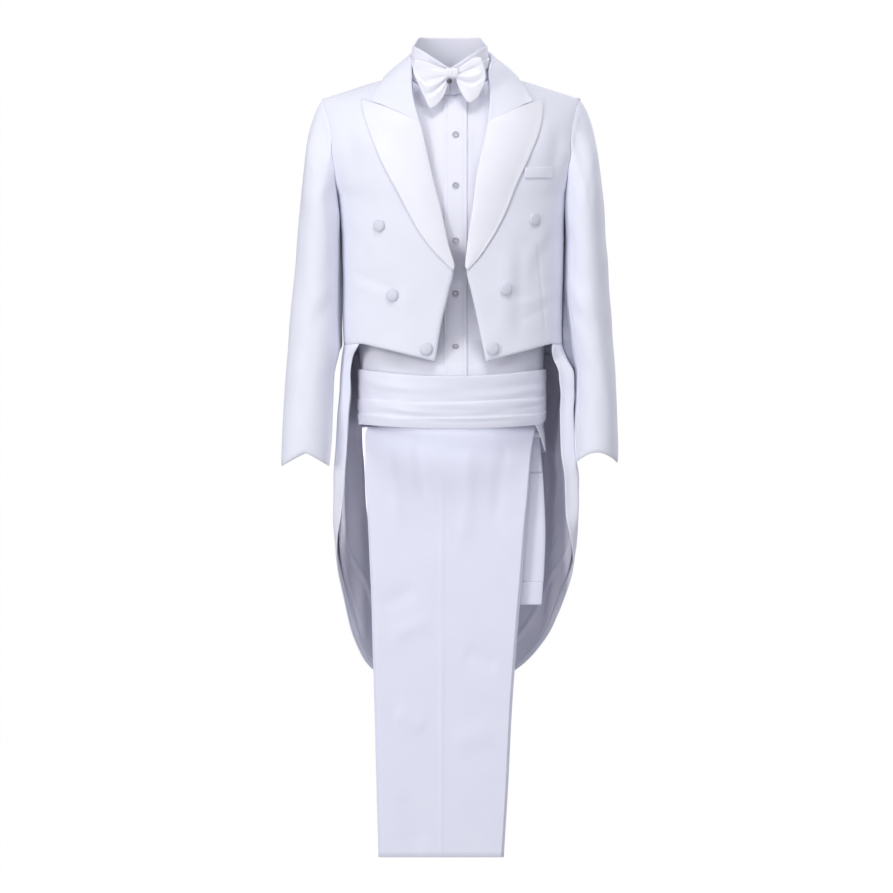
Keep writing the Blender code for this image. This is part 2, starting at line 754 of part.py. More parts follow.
def tail_lining(side):
    """Satin inside a tail, a little short of its cut edge and its end."""
    heights = [z for z in TAIL_HEIGHTS if -1.03 < z < WAIST_SEAM]
    skirt = tail_grid(side, True, SKIRT_COLUMNS, heights)
    back = tail_grid(side, False, BACK_COLUMNS, heights)
    grid = [first + second[1:] for first, second in zip(skirt, back)]
    normals = coat.normals(side, grid)
    outer = moved(grid, normals, -LINING_INSET)
    inner = moved(grid, normals, -(LINING_INSET + LINING))
    edges = {"first_column": LINING_MARGIN, "last_column": LINING_MARGIN, "last_row": 0.004}
    return wall("tail_lining_" + SIDE_NAMES[side], trim(outer, **edges), trim(inner, **edges),
                "lining")


def lapel_edge(side, z):
    return opening_edge(side, z) + LAPEL.at(z, "width")


def lapel(side):
    """The satin-faced peaked lapel, turned back along the roll line onto the front."""
    rows = 12
    columns = 4
    outer = []
    inner = []
    for part in shares(rows):
        inner_z = lerp(-0.306, GORGE_INNER_HEIGHT, part)
        outer_z = lerp(-0.306, PEAK_HEIGHT, part)
        top_row = []
        under_row = []
        for share in shares(columns):
            out = lerp(opening_edge(side, inner_z), lapel_edge(side, outer_z), share)
            z = lerp(inner_z, outer_z, share)
            lift = SEAM + 0.0010 * share + 0.0012 * math.sin(math.pi * share)
            top_row.append(coat.lifted(side, out, z, False, lift + WOOL))
            under_row.append(coat.lifted(side, out, z, False, lift))
        outer.append(top_row)
        inner.append(under_row)
    return wall("lapel_" + SIDE_NAMES[side], outer, inner, "satin")


# stations of the turned-down collar on one side, from above the gorge to the middle of the back;
# the first ones lie on the front and their fold follows the roll line
COLLAR_STATIONS = (
    # fold_out, fold_y, fold_z, leaf_out, leaf_z, leaf_on_back
    (None, None, -0.0200, 0.1350, 0.0060, False),
    (None, None, 0.0000, 0.1295, 0.0150, False),
    (None, -0.0580, 0.0230, 0.1240, 0.0230, False),
    (None, -0.0340, 0.0480, 0.1200, 0.0290, False),
    (0.0765, -0.0030, 0.0680, 0.1165, 0.0350, False),
    (0.0740, 0.0300, 0.0790, 0.1080, 0.0260, True),
    (0.0630, 0.0530, 0.0850, 0.0900, 0.0130, True),
    (0.0430, 0.0700, 0.0880, 0.0600, 0.0080, True),
    (0.0215, 0.0780, 0.0890, 0.0300, 0.0060, True),
    (0.0000, 0.0800, 0.0890, 0.0000, 0.0060, True),
)
COLLAR_SHARES = (0.0, 0.25, 0.5, 0.75, 1.0)
NOTCH_SHARE = 0.82                   # the collar ends this far along the lapel's top edge
COLLAR_LIFT = 0.0030


def clear_of_coat(side, point, clearance):
    """Push a point out of the coat until it is a clearance away from it."""
    spot = point.copy()
    for _ in range(4):
        if spot.z > coat.shoulder(abs(spot.x)) + clearance:
            return spot
        step = 0.0002
        normal = coat.normal(side, spot)
        slope = (coat.measure(side, spot + normal * step) - coat.measure(side, spot)) / step
        away = coat.measure(side, spot) / slope
        if away >= clearance:
            return spot
        spot = spot + normal * min(clearance - away, 0.01)
    return spot


def collar_section(side, station):
    """Points across the collar's leaf, from its fold to its outer edge."""
    fold_out, fold_y, fold_z, leaf_out, leaf_z, on_back = station
    if fold_out is None:
        fold_out = opening_edge(side, fold_z)
    fold = coat.lifted(side, fold_out, fold_z, False, COLLAR_LIFT)
    if fold_y is not None:
        fold = Vector((side * fold_out, fold_y, fold_z))
    leaf = coat.lifted(side, leaf_out, leaf_z, on_back, COLLAR_LIFT + 0.001)
    outer = []
    for share in COLLAR_SHARES:
        if fold_y is None:
            out = lerp(fold_out, leaf_out, share)
            z = lerp(fold_z, leaf_z, share)
            outer.append(coat.lifted(side, out, z, False, COLLAR_LIFT))
            continue
        spot = fold.lerp(leaf, share)
        spot.z += 0.005 * math.sin(math.pi * share)
        outer.append(clear_of_coat(side, spot, COLLAR_LIFT + 0.001))
    return outer


def gorge_station(side):
    """The collar's front end, just above the lapel's top edge."""
    inner_out = opening_edge(side, GORGE_INNER_HEIGHT)
    outer_out = lapel_edge(side, PEAK_HEIGHT)
    leaf_out = lerp(inner_out, outer_out, NOTCH_SHARE)
    leaf_z = lerp(GORGE_INNER_HEIGHT, PEAK_HEIGHT, NOTCH_SHARE)
    rise = 0.0016
    return (inner_out, None, GORGE_INNER_HEIGHT + rise, leaf_out, leaf_z + rise, False)


def coat_collar():
    """The turned-down collar: one leaf of cloth from gorge to gorge round the neck."""
    right = [collar_section(-1, station) for station in (gorge_station(-1),) + COLLAR_STATIONS]
    left = [collar_section(+1, station) for station in (gorge_station(+1),) + COLLAR_STATIONS[:-1]]
    grid = right + list(reversed(left))
    normals = grid_normals(grid, lambda p: Vector((0.0, 0.0, p.z - 0.05)))
    return wall("coat_collar", grid, moved(grid, normals, -WOOL * 0.9), "wool")


def sleeve_point(side, turn_deg, part):
    """A point of the sleeve: its angle round the arm, its share of the way down to the cuff."""
    table = SLEEVE[side]
    turn = math.radians(turn_deg)
    rim = armhole(coat, side, turn_deg % 360.0, lift=SLEEVE_CLEARANCE)
    arch = CUFF_ARCH[side] * (1.0 - abs(math.cos(turn)) ** CUFF_POWER[side])
    z = lerp(rim.z, SLEEVE_HEM[side] + arch, part ** 1.25)

    def tube(height):
        middle = (table.at(height, "outer") + table.at(height, "inner")) / 2
        half = (table.at(height, "outer") - table.at(height, "inner")) / 2
        y = table.at(height, "y") - table.at(height, "depth") * math.sin(turn)
        return Vector((side * (middle + half * math.cos(turn)), y, height))

    pull = 1.0 - smooth((rim.z - z) / CAP_BLEND)
    return tube(z) + (rim - tube(rim.z)) * pull


def sleeve_piece(name, side, first_deg, last_deg, columns):
    """One of the two pieces of a sleeve, with normals shared across the seams between them."""
    step = (last_deg - first_deg) / columns
    table = SLEEVE[side]
    wide = []
    for part in shares(SLEEVE_ROWS):
        wide.append([sleeve_point(side, first_deg + step * place, part)
                     for place in range(-1, columns + 2)])

    def arm_axis(point):
        z = min(point.z, -0.06)
        middle = (table.at(z, "outer") + table.at(z, "inner")) / 2
        return Vector((side * middle, table.at(z, "y"), point.z - 0.01))

    inner = [row[1:-1] for row in moved(wide, grid_normals(wide, arm_axis), -WOOL)]
    grid = [row[1:-1] for row in wide]
    edges = {"first_column": SEAM, "last_column": SEAM}
    return wall(name + SIDE_NAMES[side], trim(grid, **edges), trim(inner, **edges), "wool")


def sleeves(side):
    """Each sleeve is cut in two: the top sleeve outside and the narrower under sleeve."""
    back = SLEEVE_BACK_SEAM_DEG - 360.0
    sleeve_piece("sleeve_top_", side, back, SLEEVE_FRONT_SEAM_DEG, 13)
    sleeve_piece("sleeve_under_", side, SLEEVE_FRONT_SEAM_DEG, SLEEVE_BACK_SEAM_DEG, 5)


def breast_welt():
    """The welt of the breast pocket, a strip laid on the left front."""
    outer = []
    inner = []
    for z_shift in (0.0, -0.0185):
        top_row = []
        under_row = []
        for share in shares(5):
            out = lerp(0.1290, 0.1790, share)
            z = -0.1265 + z_shift + 0.0015 * share
            top_row.append(coat.lifted(+1, out, z, False, SEAM + SATIN))
            under_row.append(coat.lifted(+1, out, z, False, SEAM))
        outer.append(top_row)
        inner.append(under_row)
    return wall("breast_welt", outer, inner, "wool")


def turned_disc(name, centre, facing, profile, finish, sides=10):
    """A round button: rings of (radius, height) about a facing direction."""
    facing = facing.normalized()
    across = facing.cross(Vector((0.0, 0.0, 1.0))).normalized()
    up = across.cross(facing)
    rings = []
    for radius, height in profile:
        ring = []
        for place in range(sides):
            turn = 2 * math.pi * place / sides
            spoke = across * math.cos(turn) + up * math.sin(turn)
            ring.append(centre + facing * height + spoke * radius)
        rings.append(ring)
    return rings_solid(name, rings, finish)


def coat_buttons():
    """Satin-covered domed buttons on the fronts and at the back of the waist."""
    radius = COAT_BUTTON_WIDTH / 2
    high = COAT_BUTTON_HEIGHT
    profile = ((radius * 0.80, 0.0), (radius, high * 0.25), (radius * 0.93, high * 0.62),
               (radius * 0.62, high * 0.93), (radius * 0.18, high))
    for name, (x, z) in COAT_BUTTONS.items():
        side = 1 if x > 0 else -1
        point = coat.point(side, abs(x), z)
        facing = coat.normal(side, point)
        turned_disc(name, point + facing * 0.0009, facing, profile, "satin")
    for side in (+1, -1):
        point = coat.point(side, WAIST_BUTTON_X, WAIST_SEAM + 0.012, back=True)
        facing = coat.normal(side, point)
        name = "waist_button_" + SIDE_NAMES[side]
        turned_disc(name, point + facing * 0.0009, facing, profile, "satin")


# ---------------------------------------------------------------- the shirt
SHIRT_HEM_FRONT = -0.574             # tucked behind the cummerbund
SHIRT_HEM_SIDE = {+1: -0.626, -1: -0.607}
SHIRT_HEM_BACK = -0.640
SHIRT_ARMPIT = -0.185
SHIRT_ROWS = 9
SHIRT_UPPER_ROWS = 8
SHIRT_COLUMNS = 8
SHIRT_SHORT = 0.012                  # the shirt's shoulders end this far inside the coat's
SHIRT_NECK_OUT = 0.0760
SHIRT_NECK_FRONT = -0.012
NECK_START = 0.72                    # share of the upper rows at which the neckline begins
PLACKET_LAP = 0.005
PLACKET_GAP = 0.0009
COLLAR_STEPS = 28
COLLAR_SHOULDER = 0.22               # share of the half width in which its top rises to the back
BAND_LIFT = 0.0008                   # the bow's band lies this far outside the collar
SHIRT_NECK = {"half": 0.0668, "middle": -0.002, "front": -0.062, "back": 0.062,
              "top_front": 0.0500, "top_side": 0.0930, "top_back": 0.1035,
              "base_front": -0.008, "base_side": 0.0360, "base_back": 0.0400}


def collar_point(turn_deg, share):
    """The standing collar: angle round the neck (0 at the front), share of its height."""
    turn = math.radians(turn_deg)
    neck = SHIRT_NECK
    x = neck["middle"] + neck["half"] * math.sin(turn)
    middle_y = (neck["front"] + neck["back"]) / 2
    y = middle_y - (neck["back"] - neck["front"]) / 2 * math.cos(turn)
    sideways = abs(math.sin(turn))
    if abs(turn_deg) <= 90:
        top = lerp(neck["top_front"], neck["top_side"], sideways)
        base = lerp(neck["base_front"], neck["base_side"], sideways ** 2)
    else:
        rise = smooth((1.0 - sideways) / COLLAR_SHOULDER)
        top = lerp(neck["top_side"], neck["top_back"], rise ** 0.6)
        base = lerp(neck["base_side"], neck["base_back"], rise ** 0.6)
    spread = 1.0 + 0.05 * (1.0 - share)
    return Vector(((x - neck["middle"]) * spread + neck["middle"],
                   (y - middle_y) * spread + middle_y, lerp(base, top, share)))


def shirt_collar():
    """A standing collar round the neck, its two ends meeting behind the bow."""
    gap_deg = 0.6
    grid = []
    for share in shares(3):
        row = []
        for part in shares(COLLAR_STEPS):
            angle = lerp(gap_deg, 360.0 - gap_deg, part)
            row.append(collar_point(angle if angle <= 180 else angle - 360, share))
        grid.append(row)
    normals = grid_normals(grid, lambda p: Vector((SHIRT_NECK["middle"], 0.0, p.z)))
    return wall("shirt_collar", grid, moved(grid, normals, -0.0022), "poplin")


def placket_edge(side):
    """Distance from the middle line to the placket's edge on a side."""
    return PLACKET_WIDTH / 2 + side * SHIRT_MIDDLE


def shirt_hem(side, angle):
    """The hem's height by the angle round the body."""
    if angle <= 90:
        return lerp(SHIRT_HEM_FRONT, SHIRT_HEM_SIDE[side], smooth((angle - 62.0) / 26.0))
    return lerp(SHIRT_HEM_SIDE[side], SHIRT_HEM_BACK, smooth((angle - 90.0) / 80.0))


def shirt_shoulder_out():
    return SHOULDER_POINT[0] - SHIRT_SHORT


def edge_height(rise):
    """Height of a front's inner edge above the armpit, which ends at the neck's front."""
    return lerp(SHIRT_ARMPIT, SHIRT_NECK_FRONT, min(rise / NECK_START, 1.0))


def shirt_front(side):
    """A shirt front, from under the placket to the side seam and up to the shoulder."""
    start = placket_edge(side) - PLACKET_LAP
    grid = []
    for part in shares(SHIRT_ROWS):
        row = []
        for share in shares(SHIRT_COLUMNS):
            z = lerp(shirt_hem(side, 90.0 * share), SHIRT_ARMPIT, part)
            out = lerp(start, shirt.half(side, z), column_share(share))
            row.append(shirt.point(side, out, z))
        grid.append(row)
    neck_side = shirt.shoulder(SHIRT_NECK_OUT)
    for part in shares(SHIRT_UPPER_ROWS)[1:]:
        rise = ease_up(part)
        round_neck = math.pi / 2 * max((rise - NECK_START) / (1.0 - NECK_START), 0.0)
        inner_out = lerp(start, SHIRT_NECK_OUT, math.sin(round_neck))
        reach = (inner_out ** 2 - start ** 2) / (SHIRT_NECK_OUT ** 2 - start ** 2)
        inner_z = lerp(edge_height(rise), neck_side, reach)
        outer_z = lerp(SHIRT_ARMPIT, shirt.shoulder(shirt_shoulder_out()), rise)
        outer_out = armhole_row(shirt, side, outer_z, back=False) - SHIRT_SHORT * rise
        if part == 1:
            outer_out = shirt_shoulder_out()
        row = []
        for share in shares(SHIRT_COLUMNS):
            across = column_share(share)
            out = lerp(inner_out, outer_out, across)
            row.append(shirt.point(side, out, lerp(inner_z, outer_z, across)))
        grid.append(row)
    return panel("shirt_front_" + SIDE_NAMES[side], shirt, side, grid, POPLIN, "poplin",
                 last_row=SEAM / 2, last_column=SEAM / 2)


def shirt_back():
    """The shirt's back in one piece, from side seam to side seam."""
    count = SHIRT_COLUMNS - 1
    places = [place / count for place in range(-count, count + 1)]
    grid = []
    normals = []
    for part in shares(SHIRT_ROWS):
        row = []
        for place in places:
            side = 1 if place >= 0 else -1
            z = lerp(shirt_hem(side, 180.0 - 90.0 * abs(place)), SHIRT_ARMPIT, part)
            out = shirt.half(side, z) * column_share(abs(place))
            row.append(shirt.point(side, out, z, back=True))
        grid.append(row)
    for part in shares(SHIRT_UPPER_ROWS)[1:]:
        rise = ease_up(part)
        row = []
        for place in places:
            side = 1 if place >= 0 else -1
            across = column_share(abs(place))
            outer_z = lerp(SHIRT_ARMPIT, shirt.shoulder(shirt_shoulder_out()), rise)
            outer_out = armhole_row(shirt, side, outer_z, back=True) - SHIRT_SHORT * rise
            if part == 1:
                outer_out = shirt_shoulder_out()
            top = neckline(shirt, shirt_shoulder_out() * across)
            z = lerp(SHIRT_ARMPIT, top, rise)
            row.append(shirt.point(side, outer_out * across, z, back=True))
        grid.append(row)
    for row in grid:
        normals.append([shirt.normal(1 if point.x >= 0 else -1, point) for point in row])
    inner = moved(grid, normals, -POPLIN)
    edges = {"last_row": SEAM / 2, "first_column": SEAM / 2, "last_column": SEAM / 2}
    return wall("shirt_back", trim(grid, **edges), trim(inner, **edges), "poplin")


def shirt_placket():
    """The buttoned strip down the middle of the shirt, over the edges of both fronts."""
    outer = []
    inner = []
    heights = [lerp(SHIRT_HEM_FRONT, SHIRT_ARMPIT, part) for part in shares(SHIRT_ROWS)]
    rises = [ease_up(part) for part in shares(SHIRT_UPPER_ROWS)[1:]]
    heights += [edge_height(rise) for rise in rises if rise < NECK_START]
    for z in heights + [SHIRT_NECK_FRONT - 0.004]:
        top_row = []
        under_row = []
        for share in shares(2):
            x = SHIRT_MIDDLE + PLACKET_WIDTH * (share - 0.5)
            side = 1 if x >= 0 else -1
            top_row.append(shirt.lifted(side, abs(x), z, False, PLACKET_GAP + POPLIN))
            under_row.append(shirt.lifted(side, abs(x), z, False, PLACKET_GAP))
        outer.append(top_row)
        inner.append(under_row)
    return wall("shirt_placket", outer, inner, "poplin")


def shirt_buttons():
    """Flat buttons with a raised rim, down the placket."""
    radius = SHIRT_BUTTON_WIDTH / 2
    high = SHIRT_BUTTON_HEIGHT
    profile = ((radius * 0.85, 0.0), (radius, high * 0.4), (radius * 0.92, high),
               (radius * 0.62, high * 0.62))
    for place, z in enumerate(SHIRT_BUTTON_HEIGHTS):
        point = shirt.point(+1, SHIRT_MIDDLE, z)
        facing = shirt.normal(+1, point)
        lift = PLACKET_GAP + POPLIN + 2 * SEAM
        turned_disc("shirt_button_%d" % (place + 1), point + facing * lift, facing, profile,
                    "button", sides=8)


# ---------------------------------------------------------------- the bow tie
# outline of each wing from the knot to its end: along x, top and bottom heights
WINGS = {
    -1: Table("along top_x top_z low_x low_z", (
        (0.00, -0.0050, 0.0445, -0.0050, 0.0245),
        (0.33, -0.0250, 0.0530, -0.0150, 0.0070),
        (0.66, -0.0450, 0.0625, -0.0310, -0.0205),
        (1.00, -0.0625, 0.0655, -0.0585, -0.0030),
    )),
    +1: Table("along top_x top_z low_x low_z", (
        (0.00, 0.0100, 0.0465, 0.0100, 0.0240),
        (0.33, 0.0260, 0.0590, 0.0200, 0.0060),
        (0.66, 0.0430, 0.0690, 0.0345, -0.0115),
        (1.00, 0.0545, 0.0640, 0.0530, 0.0040),
    )),
}
BOW_Y = -0.0790
BOW_LEAN = 0.22                      # the bow leans forward with the chest below it
BOW_FOLDS = 2.5


def bow_y(z):
    return BOW_Y - BOW_LEAN * max(0.0, 0.045 - z)


def bow_wing(side):
    """A puffed wing with folds that run out from the knot."""
    table = WINGS[side]
    count = 7
    rings = []
    for part in shares(8):
        top = Vector((table.at(part, "top_x"), 0.0, table.at(part, "top_z")))
        low = Vector((table.at(part, "low_x"), 0.0, table.at(part, "low_z")))
        front = []
        back = []
        for share in shares(count):
            spot = top.lerp(low, share)
            spot.x += side * 0.0050 * part ** 3 * math.sin(math.pi * share)
            puff = math.sin(math.pi * min(max(share, 0.02), 0.98)) ** 0.5
            swell = 0.0022 + 0.0042 * math.sin(math.pi * min(0.15 + 0.7 * part, 1.0)) * puff
            fold = 0.0016 * smooth(0.2 + part * 3) * (1.0 - 0.55 * part) * puff
            fold *= math.cos(2 * math.pi * BOW_FOLDS * share)
            y = bow_y(spot.z)
            front.append(Vector((spot.x, y - swell - fold * 0.8, spot.z)))
            back.append(Vector((spot.x, y + swell * 0.5, spot.z)))
        rings.append(front + list(reversed(back)))
    return rings_solid("bow_wing_" + SIDE_NAMES[side], rings, "satin")


def bow_knot():
    """The band of satin round the middle of the bow."""
    rings = []
    for part in shares(4):
        x = lerp(-0.0043, 0.0093, part)
        bulge = math.sin(math.pi * (0.15 + 0.7 * part))
        half_high = 0.0105 + 0.0015 * bulge
        middle = Vector((x, bow_y(0.035) + 0.0004, 0.0350))
        ring = []
        for place in range(10):
            turn = 2 * math.pi * place / 10
            ring.append(middle + Vector((0.0, -(0.0065 + 0.0015 * bulge) * math.cos(turn),
                                         half_high * math.sin(turn))))
        rings.append(ring)
    return rings_solid("bow_knot", rings, "satin")


def bow_band():
    """The band of the bow, round the standing collar; its ends meet behind the knot."""
    grid = []
    for share in (0.34, 0.62):
        row = []
        for part in shares(COLLAR_STEPS)[1:-1]:
            angle = 360.0 * part
            row.append(collar_point(angle if angle <= 180 else angle - 360, share))
        grid.append(row)
    normals = grid_normals(grid, lambda p: Vector((SHIRT_NECK["middle"], 0.0, p.z)))
    return wall("bow_band", moved(grid, normals, BAND_LIFT + SATIN), moved(grid, normals, BAND_LIFT),
                "satin")


# ---------------------------------------------------------------- the cummerbund
def cummerbund_point(angle, share, proud):
    """The sash: angle round the waist, share of its height from the top, how far out."""
    sizes = CUMMERBUND
    turn = math.radians(angle)
    power = 2.0 / SECTION_POWER
    out = sizes["half"] + proud
    across = math.copysign(abs(math.sin(turn)) ** power, math.sin(turn))
    deep = (sizes["front"] if math.cos(turn) > 0 else sizes["back"]) + proud
    y = -math.copysign(deep * abs(math.cos(turn)) ** power, math.cos(turn))
    side_part = across ** 2 if math.cos(turn) > 0 else 1.0
    top = lerp(sizes["top_front"], sizes["top_side"], side_part)
    bottom = lerp(sizes["bottom_front"], sizes["bottom_side"], side_part)
    if math.cos(turn) < 0:
        narrow = smooth((abs(math.cos(turn)) - 0.05) / 0.55)
        middle = (top + bottom) / 2
        half_band = lerp((top - bottom) / 2, sizes["band_height"] / 2, narrow)
        top = middle + half_band
        bottom = middle - half_band
    return Vector((sizes["middle"] + out * across, y, lerp(top, bottom, share)))


def cummerbund():
    """The pleated front, its folds opening upwards, and a plain band round the back."""
    folds = list(PLEATS.keys)
    outer = []
    inner = []
    for share in folds:
        proud = PLEATS.columns["proud"][folds.index(share)]
        top_row = []
        under_row = []
        for step in shares(18):
            angle = lerp(-CUMMERBUND_FRONT_DEG, CUMMERBUND_FRONT_DEG, step)
            flat = 1.0 - 0.6 * smooth((abs(angle) - 50.0) / 40.0)
            top_row.append(cummerbund_point(angle, share, proud * flat))
            under_row.append(cummerbund_point(angle, share, -SATIN))
        outer.append(top_row)
        inner.append(under_row)
    edges = {"first_column": SEAM, "last_column": SEAM}
    wall("cummerbund_front", trim(outer, **edges), trim(inner, **edges), "satin")
    outer = []
    inner = []
    for share in (0.0, 0.5, 1.0):
        angles = [lerp(CUMMERBUND_FRONT_DEG, 360 - CUMMERBUND_FRONT_DEG, step)
                  for step in shares(14)]
        outer.append([cummerbund_point(angle, share, 0.0) for angle in angles])
        inner.append([cummerbund_point(angle, share, -SATIN) for angle in angles])
    wall("cummerbund_band", trim(outer, **edges), trim(inner, **edges), "satin")


# ---------------------------------------------------------------- the trousers
def hang_path(radius, back_end):
    """Stations down the front, over the bar and down behind: (y, z, facing, on the back?)."""
    stations = []
    for part in shares(12):
        stations.append((-radius, lerp(TROUSER_HEM, BAR_HEIGHT, part ** 0.9), 0.0, False))
    for part in shares(6)[1:-1]:
        turn = math.pi * part
        stations.append((-radius * math.cos(turn), BAR_HEIGHT + radius * math.sin(turn), turn,
                         part > 0.5))
    for part in shares(3):
        stations.append((radius, lerp(BAR_HEIGHT, back_end, part), math.pi, True))
    return stations


def leg_edges(z, on_back, shift):
    table = SEAT if on_back else LEG
    shift *= smooth((BAR_HEIGHT - z) / 0.25)
    return table.at(z, "right") - shift, table.at(z, "left") + shift


def trouser_leg(side, radius, shift):
    """A leg pressed flat on its creases, hanging over the bar, with an open hem."""
    across_steps = 6
    rings = []

    def ring(station, thin):
        y, z, facing, on_back = station
        right, left = leg_edges(z, on_back, shift)
        outward = Vector((0.0, -math.cos(facing), math.sin(facing)))
        middle = Vector((0.0, BAR_Y + y, z))
        outside = []
        inside = []
        for share in shares(across_steps):
            swell = math.sin(math.pi * share) ** 0.4
            half = (lerp(LEG_EDGE_THICK, LEG_HALF_THICK, swell) - thin)
            x = lerp(right + thin, left - thin, share)
            outside.append(middle + Vector((x, 0.0, 0.0)) + outward * half)
            inside.append(middle + Vector((x, 0.0, 0.0)) - outward * half)
        return outside + list(reversed(inside))

    path = hang_path(radius, CROTCH_LEVEL)
    y, _, facing, on_back = path[0]
    mouth = (y, TROUSER_HEM + HEM_MOUTH, facing, on_back)
    rings.append(ring(mouth, HEM_LAYER))
    rings.append(ring(path[0], HEM_LAYER))
    for station in path:
        rings.append(ring(station, 0.0))
    return rings_solid("trouser_leg_" + SIDE_NAMES[side], rings, "wool")


def trouser_seat(side, radius):
    """Half of the seat behind the bar: one layer from the crotch down to the waistband."""
    outer = []
    inner = []
    for part in shares(5):
        z = lerp(CROTCH_LEVEL - SEAM, WAISTBAND_TOP + SEAM, part)
        right, left = leg_edges(z, True, 0.0)
        outer.append([Vector((lerp(right, left, share), BAR_Y + radius + SEAT_HALF_THICK, z))
                      for share in shares(3)])
        inner.append([Vector((lerp(right, left, share), BAR_Y + radius - SEAT_HALF_THICK, z))
                      for share in shares(3)])
    return wall("trouser_seat_" + SIDE_NAMES[side], outer, inner, "wool")


def waistband():
    """The waistband, pressed flat with its opening downwards, lowest of all behind the legs."""
    middle_y = BAR_Y + (INNER_LEG_RADIUS + OUTER_LEG_RADIUS) / 2
    rings = []
    for z, thin in ((WAISTBAND_END + WAIST_MOUTH, WAIST_LAYER), (WAISTBAND_END, WAIST_LAYER),
                    (WAISTBAND_END, 0.0), (WAISTBAND_TOP, 0.0)):
        right, left = leg_edges(z, True, 0.0)
        half_x = (left - right) / 2 - thin
        half_y = WAISTBAND_DEEP - thin
        ring = []
        for place in range(20):
            turn = 2 * math.pi * place / 20
            along = math.copysign(abs(math.cos(turn)) ** 0.25, math.cos(turn))
            ring.append(Vector(((right + left) / 2 + half_x * along,
                                middle_y + half_y * math.sin(turn), z)))
        rings.append(ring)
    return rings_solid("trouser_waistband", rings, "wool")


def trouser_bar():
    """A plain round bar across the waist, its ends just inside the shirt's sides."""
    left = shirt.half(+1, BAR_HEIGHT) - BAR_SHORT
    right = BAR_SHORT - shirt.half(-1, BAR_HEIGHT)
    rings = []
    for x, share in ((right, 0.72), (right + 0.0015, 1.0), (left - 0.0015, 1.0), (left, 0.72)):
        ring = []
        for place in range(12):
            turn = 2 * math.pi * place / 12
            ring.append(Vector((x, BAR_Y + BAR_RADIUS * share * math.cos(turn),
                                BAR_HEIGHT + BAR_RADIUS * share * math.sin(turn))))
        rings.append(ring)
    return rings_solid("trouser_bar", rings, "bar")


# ---------------------------------------------------------------- everything
def build():
    clear_scene()
    for side in (+1, -1):
        coat_front(side)
        coat_side(side)
        coat_back(side)
        coat_skirt(side)
        tail_lining(side)
        lapel(side)
        sleeves(side)
        shirt_front(side)
        bow_wing(side)
    coat_collar()
    breast_welt()
    coat_buttons()
    shirt_back()
    shirt_collar()
    shirt_placket()
    shirt_buttons()
    bow_knot()
    bow_band()
    cummerbund()
    trouser_leg(+1, OUTER_LEG_RADIUS, 0.0)
    trouser_leg(-1, INNER_LEG_RADIUS, 0.0022)
    trouser_seat(+1, OUTER_LEG_RADIUS)
    trouser_seat(-1, INNER_LEG_RADIUS)
    waistband()
    trouser_bar()


build()
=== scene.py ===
"""Looks of a white evening dress set: tailcoat, shirt, bow tie, cummerbund and folded trousers.

Metres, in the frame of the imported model: +Z up, the front faces -Y, the wearer's left is +X.
Each piece of cloth is drawn as a grid of points on the form of its garment.  Its folds are small
moves along the normals of that grid, and the grid is then closed into a thin wall with a rolled
edge.
"""
import math

import bpy
import numpy as np
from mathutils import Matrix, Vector
from mathutils.bvhtree import BVHTree


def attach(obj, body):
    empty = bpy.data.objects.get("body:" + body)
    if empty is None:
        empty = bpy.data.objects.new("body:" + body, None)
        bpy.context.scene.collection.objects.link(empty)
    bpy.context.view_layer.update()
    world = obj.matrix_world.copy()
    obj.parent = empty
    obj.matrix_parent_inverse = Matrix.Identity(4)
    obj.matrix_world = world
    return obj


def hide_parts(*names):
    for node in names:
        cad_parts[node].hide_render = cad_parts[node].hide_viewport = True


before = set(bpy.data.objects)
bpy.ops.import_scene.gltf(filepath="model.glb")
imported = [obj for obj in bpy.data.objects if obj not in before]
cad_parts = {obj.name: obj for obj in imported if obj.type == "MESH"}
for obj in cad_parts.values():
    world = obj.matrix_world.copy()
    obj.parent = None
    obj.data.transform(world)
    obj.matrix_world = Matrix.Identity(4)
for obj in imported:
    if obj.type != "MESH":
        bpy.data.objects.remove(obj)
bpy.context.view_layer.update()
scene = bpy.context.scene

# ---------------------------------------------------------------- sizes, as in the solids or near them
WOOL = 0.0020
SATIN = 0.0016
POPLIN = 0.0012
LINING = 0.0010
FACING = 0.0013                  # the satin of the lapel
COLLAR_CLOTH = 0.0016            # the coat's collar and the breast welt
STANDING_COLLAR_CLOTH = 0.0022
LEG_CLOTH = 0.0009               # one layer of a leg that is pressed flat
SEAT_CLOTH = 0.0018
WAISTBAND_CLOTH = 0.0022
SEAM = 0.0004
SECTION_POWER = 2.25
NECK_POINT = (0.088, 0.044)
SHOULDER_POINT = (0.2266, 0.0)
SHOULDER_ROUND = 0.100
SHOULDER_SEAM_Y = 0.012
NAPE_HEIGHT = 0.026
ARMHOLE_DEPTH = 0.175
ARMHOLE_FRONT_DEG = 26.0
ARMHOLE_BACK_DEG = 28.0
BACK_SEAM_TOP = -0.115
WAIST_SEAM = -0.4355
FRONT_CORNER = -0.467
SIDE_POINT = {+1: 0.178, -1: 0.158}
TAIL_END = -1.045
VENT_GAP = 0.003
LINING_INSET = 0.0032
LINING_END = -1.022
STREAK_RISE = 0.0042
EDGE_SHOWN = (0.0065, 0.0120)    # how wide the cloth shows beside the lining, above and below
SHIRT_DROP = 0.010
SHIRT_MIDDLE = 0.008
PLACKET_WIDTH = 0.040
PLACKET_GAP = 0.0009
PLACKET_STITCH = 0.0145          # from its middle to each of its two rows of stitches
NECK_RADIUS = 0.0702             # half the width of the standing collar's lower edge
BAR_RADIUS = 0.005
BAR_HEIGHT = -0.5958
BAR_Y = -0.010
TROUSER_HEM = -1.3422
CROTCH_LEVEL = -0.662
WAISTBAND_TOP = -0.857
WAISTBAND_END = -0.896
LEG_HALF_THICK = 0.0023
LEG_EDGE_THICK = 0.0013
WAISTBAND_HALF_THICK = 0.0046
SEAT_OFF = 0.0020                # how far behind its leg's middle a seat layer hangs
INNER_LEG_SHIFT = 0.0036         # how much further out the inner leg's two edges lie below the bar
